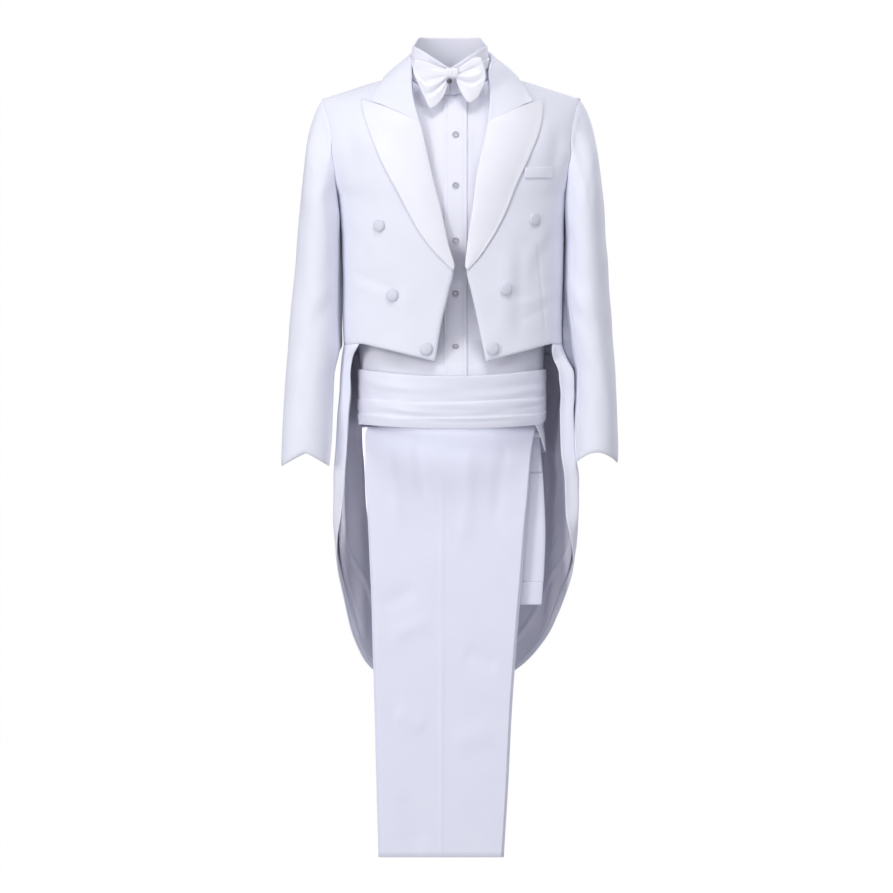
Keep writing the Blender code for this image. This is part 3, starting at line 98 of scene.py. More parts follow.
INNER_LEG_RADIUS = BAR_RADIUS + SEAM + LEG_HALF_THICK
OUTER_LEG_RADIUS = INNER_LEG_RADIUS + SEAM + 2 * LEG_HALF_THICK
SIDE_NAMES = {+1: "left", -1: "right"}
LEVEL = np.array((1.0, 1.0, 0.0))


# ---------------------------------------------------------------- how finely the forms are drawn
FRONT_COLUMNS, FRONT_LOW_ROWS, FRONT_HIGH_ROWS = 60, 66, 50
SIDE_COLUMNS, SIDE_ROWS = 26, 60
TAIL_ROWS, SKIRT_COLUMNS = 120, 64
BACK_COLUMNS, BACK_LOW_ROWS, BACK_HIGH_ROWS = 40, 50, 46
LINING_BESIDE_COLUMNS, LINING_BEHIND_COLUMNS, LINING_EDGE_COLUMNS = 60, 16, 9
LAPEL_ROWS, LAPEL_COLUMNS = 96, 34
ROLL_STEPS = 7
STAND_COLUMNS, COLLAR_COLUMNS, STATION_STEPS = 8, 22, 9
SLEEVE_COLUMNS, SLEEVE_ROWS = 96, 110
SHIRT_LOW_ROWS, SHIRT_HIGH_ROWS, SHIRT_FRONT_COLUMNS, SHIRT_BACK_COLUMNS = 70, 50, 46, 44
LEG_COLUMNS = {+1: 92, -1: 44}   # the front one has a crease to show
LEG_ROWS, BAR_STEPS, BEHIND_ROWS = 110, 20, 12


def lerp(start, end, part):
    return start + (end - start) * part


def smooth(part):
    part = np.clip(part, 0.0, 1.0)
    return part * part * (3 - 2 * part)


def steps(count, first=0):
    """Even steps from nothing to one, with as many as given left out at the start."""
    return np.linspace(0.0, 1.0, count + 1)[first:]


def stack(x, y, z):
    """Points from their three coordinates, each a number or an array."""
    x, y, z = np.broadcast_arrays(x, y, z)
    return np.stack((x, y, z), axis=-1).astype(float)


def past(value, level, over):
    """Nothing up to a level, then softly up to one over the given distance."""
    return smooth((value - level) / over)


def short_of(value, level, over):
    """Nothing from a level on, softly up to one over the given distance before it."""
    return smooth((level - value) / over)


def hump(distance, width):
    """One at no distance, soft and even to both sides, and near nothing two widths away."""
    return np.exp(-(distance / width) ** 2)


def signed_power(value, power):
    return np.sign(value) * np.abs(value) ** power


def full_turn(count):
    """Angles all round, the first one not repeated at the end."""
    return np.linspace(0, 2 * math.pi, count + 1)[:-1]


class Curves:
    """Rows of numbers with named columns, read between the rows as smooth curves."""

    def __init__(self, columns, *rows):
        data = np.array(sorted(rows), dtype=float)
        self.keys = data[:, 0]
        self.values = dict(zip(columns.split(), data.T))

    def __call__(self, column, key):
        keys, values = self.keys, self.values[column]
        rises = np.diff(values) / np.diff(keys)
        product = rises[:-1] * rises[1:]
        total = rises[:-1] + rises[1:]
        inner = np.where(product > 0, 2 * product / np.where(total == 0, 1.0, total), 0.0)
        slopes = np.concatenate((rises[:1], inner, rises[-1:]))
        key = np.clip(np.asarray(key, dtype=float), keys[0], keys[-1])
        low = np.clip(np.searchsorted(keys, key, side="right") - 1, 0, len(keys) - 2)
        step = keys[low + 1] - keys[low]
        t = (key - keys[low]) / step
        start = (2 * t ** 3 - 3 * t ** 2 + 1) * values[low] + (t ** 3 - 2 * t ** 2 + t) * step * slopes[low]
        return (start + (3 * t ** 2 - 2 * t ** 3) * values[low + 1]
                + (t ** 3 - t ** 2) * step * slopes[low + 1])


COAT = Curves(
    "z left right front back",
    (0.050, 0.222, 0.222, 0.076, 0.086), (0.000, 0.2266, 0.2275, 0.090, 0.102),
    (-0.040, 0.2315, 0.232, 0.102, 0.113), (-0.090, 0.2325, 0.232, 0.114, 0.120),
    (-0.130, 0.222, 0.221, 0.121, 0.122), (-0.157, 0.2115, 0.210, 0.124, 0.121),
    (-0.175, 0.2045, 0.2015, 0.125, 0.120), (-0.245, 0.2005, 0.1940, 0.124, 0.113),
    (-0.326, 0.1980, 0.1915, 0.120, 0.104), (-0.400, 0.1965, 0.1920, 0.117, 0.099),
    (-0.4355, 0.1970, 0.1905, 0.117, 0.101), (-0.460, 0.2060, 0.1940, 0.117, 0.105),
    (-0.487, 0.2180, 0.1958, 0.117, 0.110), (-0.520, 0.2180, 0.1965, 0.116, 0.114),
    (-0.560, 0.2155, 0.1998, 0.112, 0.118), (-0.620, 0.2160, 0.2012, 0.106, 0.122),
    (-0.6755, 0.2225, 0.2039, 0.102, 0.126), (-0.744, 0.2205, 0.2046, 0.100, 0.130),
    (-0.833, 0.2185, 0.2046, 0.100, 0.135), (-0.940, 0.2185, 0.2046, 0.100, 0.139),
    (-1.045, 0.2185, 0.2046, 0.100, 0.142))
SHIRT = Curves(
    "z left right front back",
    (0.040, 0.214, 0.214, 0.056, 0.074), (0.000, 0.217, 0.217, 0.066, 0.091),
    (-0.058, 0.219, 0.219, 0.092, 0.104), (-0.100, 0.215, 0.215, 0.103, 0.110),
    (-0.150, 0.199, 0.199, 0.112, 0.110), (-0.185, 0.189, 0.187, 0.115, 0.109),
    (-0.250, 0.184, 0.180, 0.107, 0.103), (-0.330, 0.176, 0.173, 0.068, 0.094),
    (-0.420, 0.166, 0.164, 0.0600, 0.088), (-0.455, 0.1645, 0.162, 0.0840, 0.0885),
    (-0.480, 0.1635, 0.1605, 0.0980, 0.089),
    (-0.577, 0.1635, 0.1605, 0.106, 0.090), (-0.592, 0.1655, 0.1625, 0.106, 0.091),
    (-0.607, 0.1670, 0.1640, 0.106, 0.093), (-0.650, 0.1710, 0.1660, 0.108, 0.097))
# the coat's roll line and, below its end, the edge of the cutaway
OPENING = Curves(
    "z half middle",
    (0.076, 0.0750, -0.003), (0.000, 0.0695, 0.001), (-0.066, 0.0580, 0.006), (-0.127, 0.0445, 0.006),
    (-0.200, 0.0305, 0.010), (-0.259, 0.0200, 0.012), (-0.309, 0.0118, 0.016), (-0.345, 0.0195, 0.016),
    (-0.400, 0.0323, 0.0155), (-0.467, 0.0446, 0.017))
LAPEL = Curves(
    "z width",
    (-0.306, 0.0015), (-0.286, 0.0185), (-0.263, 0.0320), (-0.235, 0.0455), (-0.201, 0.0570),
    (-0.164, 0.0670), (-0.103, 0.0840), (-0.035, 0.0930), (-0.004, 0.0905))
ROLL_END = -0.306
CUTAWAY_TOP = -0.300             # from here down the front edge shows as a turned one
PEAK_HEIGHT = -0.004
GORGE_INNER_HEIGHT = -0.045
# the cut edge of each tail, in degrees round the body
TAIL_EDGE = Curves(
    "z left right",
    (-0.4355, 65.5, 57.5), (-0.460, 60.0, 63.0), (-0.487, 60.0, 65.0), (-0.524, 62.0, 64.5),
    (-0.555, 62.5, 65.0), (-0.600, 63.0, 66.5), (-0.670, 64.0, 67.5), (-0.735, 66.5, 72.5),
    (-0.781, 76.0, 83.0), (-0.833, 95.0, 98.0), (-0.871, 109.0, 108.0), (-0.914, 120.0, 116.0),
    (-0.940, 126.0, 120.0), (-0.970, 134.5, 126.0), (-1.010, 148.0, 137.0), (-1.035, 161.0, 154.0),
    (-1.045, 169.5, 168.0))
EDGE_TURN = {+1: 0.0150, -1: 0.0080}     # how far a tail's front edge is turned back below the waist
LINING_LOOSE = {+1: 0.0050, -1: 0.0150}  # how far the lining hangs loose beside the edge
EDGE_CALM_DEG = 14.0                     # over how far in from the cut edge a tail's folds set in
# the side-back seam's distance from the middle of the back
BACK_SEAM = Curves(
    "z width",
    (-0.115, 0.206), (-0.150, 0.183), (-0.200, 0.150), (-0.260, 0.114), (-0.330, 0.082),
    (-0.400, 0.061), (-0.4355, 0.056), (-0.600, 0.060), (-0.800, 0.062), (-0.950, 0.056),
    (-1.010, 0.044), (-1.045, 0.026))
SLEEVE = {
    +1: Curves(
        "z outer inner depth y",
        (0.000, 0.2285, 0.195, 0.030, 0.012), (-0.025, 0.2440, 0.193, 0.052, 0.009),
        (-0.056, 0.2529, 0.192, 0.063, 0.006), (-0.110, 0.2617, 0.194, 0.070, 0.002),
        (-0.175, 0.2695, 0.2066, 0.073, 0.000), (-0.245, 0.2745, 0.2032, 0.070, -0.002),
        (-0.326, 0.2795, 0.2024, 0.065, -0.005), (-0.360, 0.2815, 0.2045, 0.063, -0.008),
        (-0.411, 0.2848, 0.2110, 0.060, -0.013), (-0.456, 0.2885, 0.2175, 0.057, -0.018),
        (-0.487, 0.2905, 0.2216, 0.055, -0.022), (-0.536, 0.2930, 0.2212, 0.052, -0.028),
        (-0.577, 0.2942, 0.2195, 0.050, -0.033), (-0.620, 0.2950, 0.2195, 0.048, -0.037),
        (-0.660, 0.2950, 0.2190, 0.046, -0.041)),
    -1: Curves(
        "z outer inner depth y",
        (0.000, 0.2295, 0.195, 0.030, 0.012), (-0.025, 0.2430, 0.193, 0.052, 0.009),
        (-0.063, 0.2527, 0.192, 0.064, 0.006), (-0.129, 0.2610, 0.1955, 0.071, 0.001),
        (-0.175, 0.2655, 0.2036, 0.073, 0.000), (-0.213, 0.2690, 0.1990, 0.072, -0.001),
        (-0.250, 0.2720, 0.1966, 0.070, -0.002), (-0.294, 0.2752, 0.1972, 0.067, -0.004),
        (-0.335, 0.2790, 0.1985, 0.064, -0.007), (-0.402, 0.2855, 0.1990, 0.060, -0.013),
        (-0.443, 0.2885, 0.1975, 0.058, -0.017), (-0.492, 0.2925, 0.2060, 0.055, -0.023),
        (-0.600, 0.2984, 0.2100, 0.049, -0.035), (-0.665, 0.3010, 0.2157, 0.046, -0.041)),
}
SLEEVE_HEM = {+1: -0.6440, -1: -0.6505}
CUFF_ARCH = {+1: 0.0175, -1: 0.0230}
CUFF_POWER = {+1: 2.0, -1: 1.15}
SLEEVE_HANG = {+1: 0.0014, -1: 0.0026}   # how close a sleeve's back hangs beside the body
HANG_END = {+1: -0.610, -1: -0.470}      # down to where
HANG_PULL = {+1: 0.0240, -1: 0.0130}     # how far it is drawn in to hang so, at most
HANG_PULL_FRONT = 0.0030                 # the same for its front
SLEEVE_METRES_A_DEGREE = 0.00095
SLEEVE_FRONT_SEAM_DEG = 150.0
SLEEVE_BACK_SEAM_DEG = 232.0
CAP_BLEND = 0.09
# the two edges of the legs in front of the bar and, next, of the part behind it
LEG = Curves(
    "z left right",
    (-0.583, 0.1500, -0.1575), (-0.617, 0.1430, -0.1562), (-0.644, 0.1400, -0.1536),
    (-0.714, 0.1340, -0.1490), (-0.751, 0.1300, -0.1446), (-0.841, 0.1230, -0.1393),
    (-0.895, 0.1182, -0.1370), (-0.986, 0.1110, -0.1347), (-1.085, 0.1040, -0.1316),
    (-1.217, 0.0975, -0.1282), (-1.3405, 0.0899, -0.1249))
SEAT = Curves(
    "z left right",
    (-0.583, 0.1560, -0.1560), (-0.640, 0.1600, -0.1450), (-0.680, 0.1631, -0.1330),
    (-0.769, 0.1667, -0.1000), (-0.859, 0.1631, -0.0870), (-0.896, 0.1605, -0.0850))
# how far the sash's cloth stands out, by the share of its height from the top: three pleats
PLEATS = Curves(
    "share proud",
    (0.000, 0.0014), (0.030, 0.0024), (0.200, 0.0021), (0.400, 0.0012), (0.505, 0.0006),
    (0.530, 0.0024), (0.560, 0.0031), (0.680, 0.0022), (0.785, 0.0010), (0.805, 0.0023),
    (0.830, 0.0028), (0.900, 0.0019), (0.970, 0.0006), (1.000, 0.0000))
PLEAT_ROWS = (0.505, 0.515, 0.525, 0.535, 0.545, 0.79, 0.80, 0.81, 0.98, 0.99)  # more rows at its pleats
CUMMERBUND = {"half": 0.1662, "middle": 0.0018, "front": 0.1106, "back": 0.0935,
              "top_side": -0.4795, "top_front": -0.4930, "bottom_side": -0.5765,
              "bottom_front": -0.5850, "band_height": 0.045}
CUMMERBUND_FRONT_DEG = 96.0
HIP_LIFT = 0.0085                # how much higher its lower edge sits over the left hip
COAT_BUTTONS = {
    "coat_button_left_1": (0.1460, -0.2170), "coat_button_left_2": (0.0955, -0.3404),
    "coat_button_left_3": (0.0728, -0.4450), "coat_button_right_1": (-0.1260, -0.2285),
    "coat_button_right_2": (-0.1028, -0.3510), "coat_button_right_3": (-0.0436, -0.4455),
}
BACK_BUTTON_OUT, BACK_BUTTON_HEIGHT = 0.047, WAIST_SEAM + 0.012
SHIRT_BUTTON_HEIGHTS = (-0.0688, -0.1587, -0.2540, -0.3465, -0.4425)

# ---------------------------------------------------------------- folds laid one by one
# soft folds: start (across, height), end (across, height), bend, width, how far the cloth rises
FRONT_FOLDS = {
    +1: (
        (0.1494, -0.235, 0.1675, -0.440, 0.0015, 0.0022, -0.0011),
        (0.100, -0.255, 0.088, -0.430, 0.004, 0.017, 0.0022),
        (0.125, -0.250, 0.122, -0.440, -0.004, 0.012, -0.0016),
        (0.185, -0.190, 0.120, -0.300, 0.008, 0.014, 0.0014),
        (0.190, -0.235, 0.140, -0.340, -0.006, 0.012, -0.0013),
        (0.195, -0.330, 0.100, -0.372, 0.006, 0.008, 0.0011),
        (0.195, -0.352, 0.110, -0.398, 0.005, 0.008, -0.0010),
        (0.190, -0.060, 0.168, -0.150, 0.006, 0.011, -0.0020),
        (0.170, -0.030, 0.150, -0.120, 0.004, 0.016, 0.0016),
    ),
    -1: (
        (0.1500, -0.235, 0.1600, -0.440, 0.0015, 0.0020, -0.0007),
        (0.085, -0.330, 0.060, -0.450, 0.005, 0.014, 0.0016),
        (0.110, -0.290, 0.098, -0.440, -0.004, 0.014, -0.0012),
        (0.190, -0.200, 0.110, -0.320, -0.008, 0.014, 0.0013),
        (0.185, -0.300, 0.080, -0.345, 0.004, 0.009, -0.0011),
        (0.185, -0.325, 0.070, -0.385, -0.006, 0.008, 0.0009),
        (0.190, -0.050, 0.172, -0.160, -0.006, 0.012, -0.0021),
        (0.160, -0.020, 0.140, -0.110, 0.005, 0.015, 0.0014),
    ),
}
# the same for the back, across from the middle of the back
BACK_FOLDS = {
    +1: ((0.060, -0.060, 0.170, -0.170, 0.010, 0.016, -0.0022),
         (0.030, -0.110, 0.130, -0.240, -0.008, 0.014, 0.0018),
         (0.020, -0.330, 0.120, -0.392, 0.006, 0.010, -0.0018),
         (0.010, -0.372, 0.090, -0.412, 0.004, 0.009, 0.0015),
         (0.150, -0.300, 0.185, -0.420, 0.004, 0.010, -0.0016)),
    -1: ((0.070, -0.070, 0.165, -0.150, -0.008, 0.015, -0.0020),
         (0.040, -0.130, 0.140, -0.250, 0.008, 0.015, 0.0017),
         (0.015, -0.345, 0.130, -0.380, -0.005, 0.010, -0.0016),
         (0.010, -0.385, 0.080, -0.418, 0.004, 0.008, 0.0014),
         (0.140, -0.280, 0.180, -0.410, -0.004, 0.011, 0.0015)),
}
# folds of the tails: angle at the start and the end, heights there, width in degrees, rise
TAIL_FOLDS = {
    +1: ((70.0, 72.5, -0.405, -0.780, 6.0, 0.0095),
         (80.0, 78.0, -0.500, -0.700, 4.0, -0.0020), (112.0, 122.0, -0.560, -0.930, 6.0, -0.0040),
         (128.0, 136.0, -0.520, -0.990, 6.5, 0.0042), (146.0, 150.0, -0.500, -1.020, 5.5, -0.0045),
         (172.0, 171.0, -0.600, -1.040, 5.0, 0.0022)),
    -1: ((66.0, 67.0, -0.440, -0.620, 3.5, -0.0035), (76.0, 77.0, -0.470, -0.660, 4.0, 0.0022),
         (110.0, 118.0, -0.540, -0.900, 6.5, 0.0036), (124.0, 130.0, -0.560, -0.960, 5.5, -0.0042),
         (142.0, 146.0, -0.500, -1.010, 6.0, 0.0044), (156.0, 158.0, -0.520, -1.030, 4.5, -0.0036),
         (173.0, 172.0, -0.620, -1.040, 5.0, -0.0020)),
}
# folds of the sleeves: angle round the arm over height, as above with the width in degrees
SLEEVE_FOLDS = {
    +1: ((30.0, -0.060, 52.0, -0.190, 0.0, 13.0, 0.0020), (62.0, -0.050, 84.0, -0.200, 0.0, 12.0, -0.0024),
         (100.0, -0.150, 128.0, -0.260, 0.0, 12.0, 0.0022), (150.0, -0.300, 80.0, -0.345, 0.0, 10.0, -0.0018),
         (160.0, -0.330, 60.0, -0.392, 0.0, 10.0, 0.0018), (150.0, -0.372, 70.0, -0.425, 0.0, 9.0, -0.0015),
         (20.0, -0.240, 34.0, -0.430, 0.0, 16.0, 0.0014), (110.0, -0.460, 60.0, -0.600, 0.0, 15.0, -0.0014),
         (-30.0, -0.050, -52.0, -0.240, 0.0, 13.0, -0.0026),
         (-62.0, -0.080, -80.0, -0.300, 0.0, 13.0, 0.0024),
         (-100.0, -0.200, -86.0, -0.420, 0.0, 13.0, -0.0024),
         (-60.0, -0.380, -104.0, -0.440, 0.0, 12.0, 0.0018),
         (-40.0, -0.460, -70.0, -0.600, 0.0, 15.0, -0.0014)),
    -1: ((26.0, -0.055, 50.0, -0.210, 0.0, 13.0, 0.0018), (66.0, -0.060, 90.0, -0.180, 0.0, 12.0, -0.0026),
         (96.0, -0.140, 120.0, -0.300, 0.0, 13.0, 0.0020), (150.0, -0.320, 70.0, -0.372, 0.0, 10.0, 0.0016),
         (156.0, -0.348, 76.0, -0.410, 0.0, 9.0, -0.0018), (22.0, -0.200, 30.0, -0.450, 0.0, 15.0, 0.0012),
         (100.0, -0.430, 64.0, -0.590, 0.0, 16.0, -0.0016),
         (-34.0, -0.060, -48.0, -0.260, 0.0, 13.0, -0.0024),
         (-66.0, -0.070, -84.0, -0.280, 0.0, 13.0, 0.0026),
         (-96.0, -0.220, -90.0, -0.440, 0.0, 13.0, -0.0022),
         (-50.0, -0.360, -100.0, -0.430, 0.0, 12.0, 0.0018),
         (-44.0, -0.480, -64.0, -0.610, 0.0, 15.0, -0.0014)),
}


def folds(across, along, strokes):
    """Height of the soft folds at each point of a grid, from the strokes laid over it."""
    total = np.zeros(np.broadcast(across, along).shape)
    for u0, v0, u1, v1, bend, width, height in strokes:
        scale = 1.0 if abs(u1) < 2 else 0.002            # degrees against metres
        run, rise = (u1 - u0) * scale, v1 - v0
        length = math.hypot(run, rise)
        part = ((across - u0) * scale * run + (along - v0) * rise) / length ** 2
        off = ((across - u0) * scale * rise - (along - v0) * run) / length
        off = off + bend * 4 * part * (1 - part)
        window = past(part, -0.02, over=0.28) * short_of(part, 1.02, over=0.28)
        total += height * hump(off, width * scale) * window
    return total


def uneven(across, along, size, rise, seed):
    """The faint unevenness that keeps hanging cloth from looking machined."""
    pick = np.random.default_rng(seed)
    total = np.zeros(np.broadcast(across, along).shape)
    for _ in range(7):
        turn, phase, scale = pick.uniform(0, math.pi), pick.uniform(0, 6.28), pick.uniform(0.7, 1.7)
        way = across * math.cos(turn) + along * math.sin(turn)
        total += np.sin(way * 6.28 / size * scale + phase)
    return total * rise / 3.2


# ---------------------------------------------------------------- the forms of the garments
WAVE_ARM = 0.2                   # a tail's usual distance from the middle, for the rise of its folds
WAVE_SHARE = 0.026


class Form:
    """The surface of a garment round the body."""

    def __init__(self, table, drop):
        self.table, self.drop = table, drop

    def half(self, side, z):
        return self.table("left" if side > 0 else "right", z)

    def shoulder(self, out):
        slope = (SHOULDER_POINT[1] - NECK_POINT[1]) / (SHOULDER_POINT[0] - NECK_POINT[0])
        return NECK_POINT[1] + slope * (out - NECK_POINT[0]) - self.drop

    def roundness(self, out, z):
        part = np.clip((self.shoulder(np.abs(out)) - z) / SHOULDER_ROUND, 0.0, 1.0)
        return np.sqrt(1.0 - (1.0 - part) ** 2)

    def point(self, side, out, z, back=False):
        across = np.minimum(np.abs(out) / self.half(side, z), 1.0)
        bulge = (1.0 - across ** SECTION_POWER) ** (1.0 / SECTION_POWER)
        round_part = self.roundness(out, z)
        deep = self.table("back" if back else "front", z) * (1.0 if back else -1.0)
        return stack(side * out, SHOULDER_SEAM_Y * (1.0 - round_part) + deep * bulge * round_part, z)

    def ripple(self, side, angle, z):
        fall = short_of(z, WAIST_SEAM - 0.03, over=0.22)
        wave = 1.0 + WAVE_SHARE * fall * np.sin(np.radians(angle) * 5.2 + 0.6)
        for first, last, top, bottom, width, height in TAIL_FOLDS[side]:
            line = lerp(first, last, (z - top) / (bottom - top))
            window = short_of(z, top, over=0.10) * smooth((z - bottom) / 0.04 + 0.5)
            wave = wave + height / WAVE_ARM * hump(angle - line, width) * window
        return wave

    def ring(self, side, angle, z):
        """Points by the angle round the body: 0 in front, 90 at the side, 180 behind."""
        turn, power = np.radians(angle), 2.0 / SECTION_POWER
        out = self.half(side, z) * np.abs(np.sin(turn)) ** power
        deep = np.where(np.asarray(angle) > 90, self.table("back", z), self.table("front", z))
        y = -np.copysign(deep * np.abs(np.cos(turn)) ** power, np.cos(turn))
        wave = self.ripple(side, angle, z)
        return stack(side * out * wave, y * wave, z)

    def angle_at(self, side, out, z):
        across = np.minimum(out / self.half(side, z), 1.0)
        return 180.0 - np.degrees(np.arcsin(across ** (SECTION_POWER / 2.0)))

    def measure(self, side, points):
        out, z = np.abs(points[..., 0]), points[..., 2]
        round_part = np.maximum(self.roundness(out, z), 0.02)
        from_seam = points[..., 1] - SHOULDER_SEAM_Y * (1.0 - round_part)
        deep = np.where(from_seam > 0, self.table("back", z), self.table("front", z))
        return ((out / self.half(side, z)) ** SECTION_POWER
                + np.abs(from_seam / (deep * round_part)) ** SECTION_POWER) - 1.0

    def normal(self, side, points):
        step, slopes = 0.0002, []
        for axis in range(3):
            shift = np.zeros(3)
            shift[axis] = step
            slopes.append(self.measure(side, points + shift) - self.measure(side, points - shift))
        slopes[0] = np.where(np.abs(points[..., 0]) < 0.003, 0.0, slopes[0])
        direction = np.stack(slopes, axis=-1)
        fall, run = NECK_POINT[1] - SHOULDER_POINT[1], SHOULDER_POINT[0] - NECK_POINT[0]
        ridge = np.array((side * fall, 0.0, run))
        high = (self.shoulder(np.abs(points[..., 0])) - points[..., 2] < 0.0004)[..., None]
        direction = np.where(high, ridge, direction)
        return direction / np.linalg.norm(direction, axis=-1, keepdims=True)

    def lifted(self, side, out, z, back, lift):
        points = self.point(side, out, z, back)
        return points + self.normal(side, points) * np.asarray(lift)[..., None]


coat = Form(COAT, 0.0)
shirt = Form(SHIRT, SHIRT_DROP)


def opening_edge(side, z):
    """Distance from the middle line to the roll line or the cutaway edge."""
    return OPENING("half", z) + side * OPENING("middle", z)


def lapel_edge(side, z):
    return opening_edge(side, z) + LAPEL("width", z)


def armhole(form, side, turn_deg):
    """Points of the armhole: 0 at the shoulder point, 90 in front, 180 under the arm."""
    turn_deg = np.asarray(turn_deg, dtype=float) % 360.0
    turn, half_depth = np.radians(turn_deg), ARMHOLE_DEPTH / 2
    z = -half_depth + half_depth * np.cos(turn) - form.drop
    spread = np.where(turn_deg <= 180, ARMHOLE_FRONT_DEG, ARMHOLE_BACK_DEG)
    angle = 90.0 - spread * np.abs(np.sin(turn))
    out = form.half(side, z) * np.sin(np.radians(angle)) ** (2.0 / SECTION_POWER)
    top = smooth(1.0 - np.minimum(turn_deg, 360.0 - turn_deg) / 14.0)
    out = lerp(out, SHOULDER_POINT[0], top)
    z = np.minimum(z, form.shoulder(out))
    front, back = form.point(side, out, z), form.point(side, out, z, back=True)
    return np.where((turn_deg > 180)[..., None], back, front)


def armhole_row(form, side, z, back):
    """Distance from the middle line to the armhole's edge at a height."""
    half_depth = ARMHOLE_DEPTH / 2
    turn = np.arccos(np.clip((z + form.drop + half_depth) / half_depth, -1.0, 1.0))
    angle = 90.0 - (ARMHOLE_BACK_DEG if back else ARMHOLE_FRONT_DEG) * np.sin(turn)
    return form.half(side, z) * np.sin(np.radians(angle)) ** (2.0 / SECTION_POWER)


def to_shoulder(out, end, rise):
    """Bring the armhole's edge to the shoulder point over the last rows of a panel."""
    return lerp(out, end, past(rise, 0.965, over=0.035))


def ease_up(part):
    """Rows that lie closer together towards the shoulder."""
    return 1.0 - (1.0 - part) ** 1.7


def column_share(part):
    """Columns that lie closer together towards the side, where a section turns back."""
    turn = math.radians(86.0)
    return np.sin(part * turn) / math.sin(turn)


# ---------------------------------------------------------------- cloth from grids of points
def unit(vectors):
    return vectors / np.maximum(np.linalg.norm(vectors, axis=-1, keepdims=True), 1e-12)


def grid_normals(grid, away=None, ring=False):
    """Unit normals of a grid, pointing away from the middle line or along the given directions."""
    if ring:
        wide = np.concatenate((grid[:, -2:], grid, grid[:, :2]), axis=1)
        across = np.gradient(wide, axis=1)[:, 2:-2]
    else:
        across = np.gradient(grid, axis=1)
    turned = np.cross(across, np.gradient(grid, axis=0))
    normals = turned.copy()
    normals[1:] += 0.3 * turned[:-1]
    normals[:-1] += 0.3 * turned[1:]
    if ring:
        normals += 0.3 * (np.roll(turned, 1, axis=1) + np.roll(turned, -1, axis=1))
    else:
        normals[:, 1:] += 0.3 * turned[:, :-1]
        normals[:, :-1] += 0.3 * turned[:, 1:]
    normals = unit(normals)
    if away is None:
        away = grid * LEVEL
    return normals if (normals * away).sum() > 0 else -normals


def pressed(grid, heights, away=None, ring=False):
    """The grid with its points moved out along its normals."""
    return grid + grid_normals(grid, away, ring) * heights[..., None]


def trimmed(grid, first_row=0.0, last_row=0.0, first_column=0.0, last_column=0.0):
    """Draw the named edges back towards the next row or column."""
    grid = grid.copy()

    def drawn(edge, towards, distance):
        span = towards - edge
        length = np.maximum(np.linalg.norm(span, axis=-1, keepdims=True), 1e-9)
        return edge + span / length * np.minimum(distance, length * 0.6)

    if first_row:
        grid[0] = drawn(grid[0], grid[1], first_row)
    if last_row:
        grid[-1] = drawn(grid[-1], grid[-2], last_row)
    if first_column:
        grid[:, 0] = drawn(grid[:, 0], grid[:, 1], first_column)
    if last_column:
        grid[:, -1] = drawn(grid[:, -1], grid[:, -2], last_column)
    return grid


def arc(grid, axis):
    """Length along the grid from its first row or column."""
    lengths = np.linalg.norm(np.diff(grid, axis=axis), axis=-1)
    start = np.zeros(grid.shape[:2])
    if axis:
        start[:, 1:] = np.cumsum(lengths, axis=1)
    else:
        start[1:] = np.cumsum(lengths, axis=0)
    return start


def edge_roll(grid, sides, width, depth):
    """How far the cloth sinks where it turns in at the named edges: left, right, bottom, top."""
    across, along = arc(grid, 1), arc(grid, 0)
    near = {"l": across, "r": across[:, -1:] - across, "b": along, "t": along[-1:] - along}
    total = np.zeros(grid.shape[:2])
    for side in sides:
        total -= depth * np.clip(1.0 - near[side] / width, 0.0, 1.0) ** 2
    return total


def placed(name, data):
    """Put a mesh, light or camera into the scene."""
    made = bpy.data.objects.new(name, data)
    scene.collection.objects.link(made)
    return made


def build_mesh(name, points, faces, kinds, uvs, finishes):
    """A smooth mesh that faces outwards, with a map in metres along the cloth."""
    a = points[faces[:, 0]]
    volume = (a * np.cross(points[faces[:, 1]], points[faces[:, 2]])).sum()
    volume += (a * np.cross(points[faces[:, 2]], points[faces[:, 3]])).sum()
    if volume < 0:
        faces = faces[:, ::-1]
    corners = [list(dict.fromkeys(face)) for face in faces.tolist()]    # a tip named twice: a triangle
    mesh = bpy.data.meshes.new(name)
    mesh.from_pydata(points.tolist(), [], corners)
    mesh.polygons.foreach_set("material_index", np.asarray(kinds, dtype=np.int32))
    mesh.polygons.foreach_set("use_smooth", np.ones(len(faces), dtype=bool))
    layer = mesh.uv_layers.new(name="cloth")
    order = [corner for face in corners for corner in face]
    layer.data.foreach_set("uv", uvs[order].astype(np.float32).reshape(-1))
    for finish in finishes:
        mesh.materials.append(finish)
    mesh.update()
    return placed(name, mesh)


def quads(first, second, turned=False):
    """Faces between two rows of point numbers."""
    rows = (first[:-1], first[1:], second[1:], second[:-1])
    return np.stack(rows[::-1] if turned else rows, axis=-1)


def skin(numbers, turned=False):
    """Faces between all rows of a grid of point numbers."""
    return np.concatenate([quads(low, high, turned) for low, high in zip(numbers, numbers[1:])])


def closed(grid):
    """The grid with its first column once more behind its last."""
    return np.concatenate((grid, grid[:, :1]), axis=1)


def numbered(grid, first=0):
    return first + np.arange(grid[..., 0].size).reshape(grid.shape[:2])


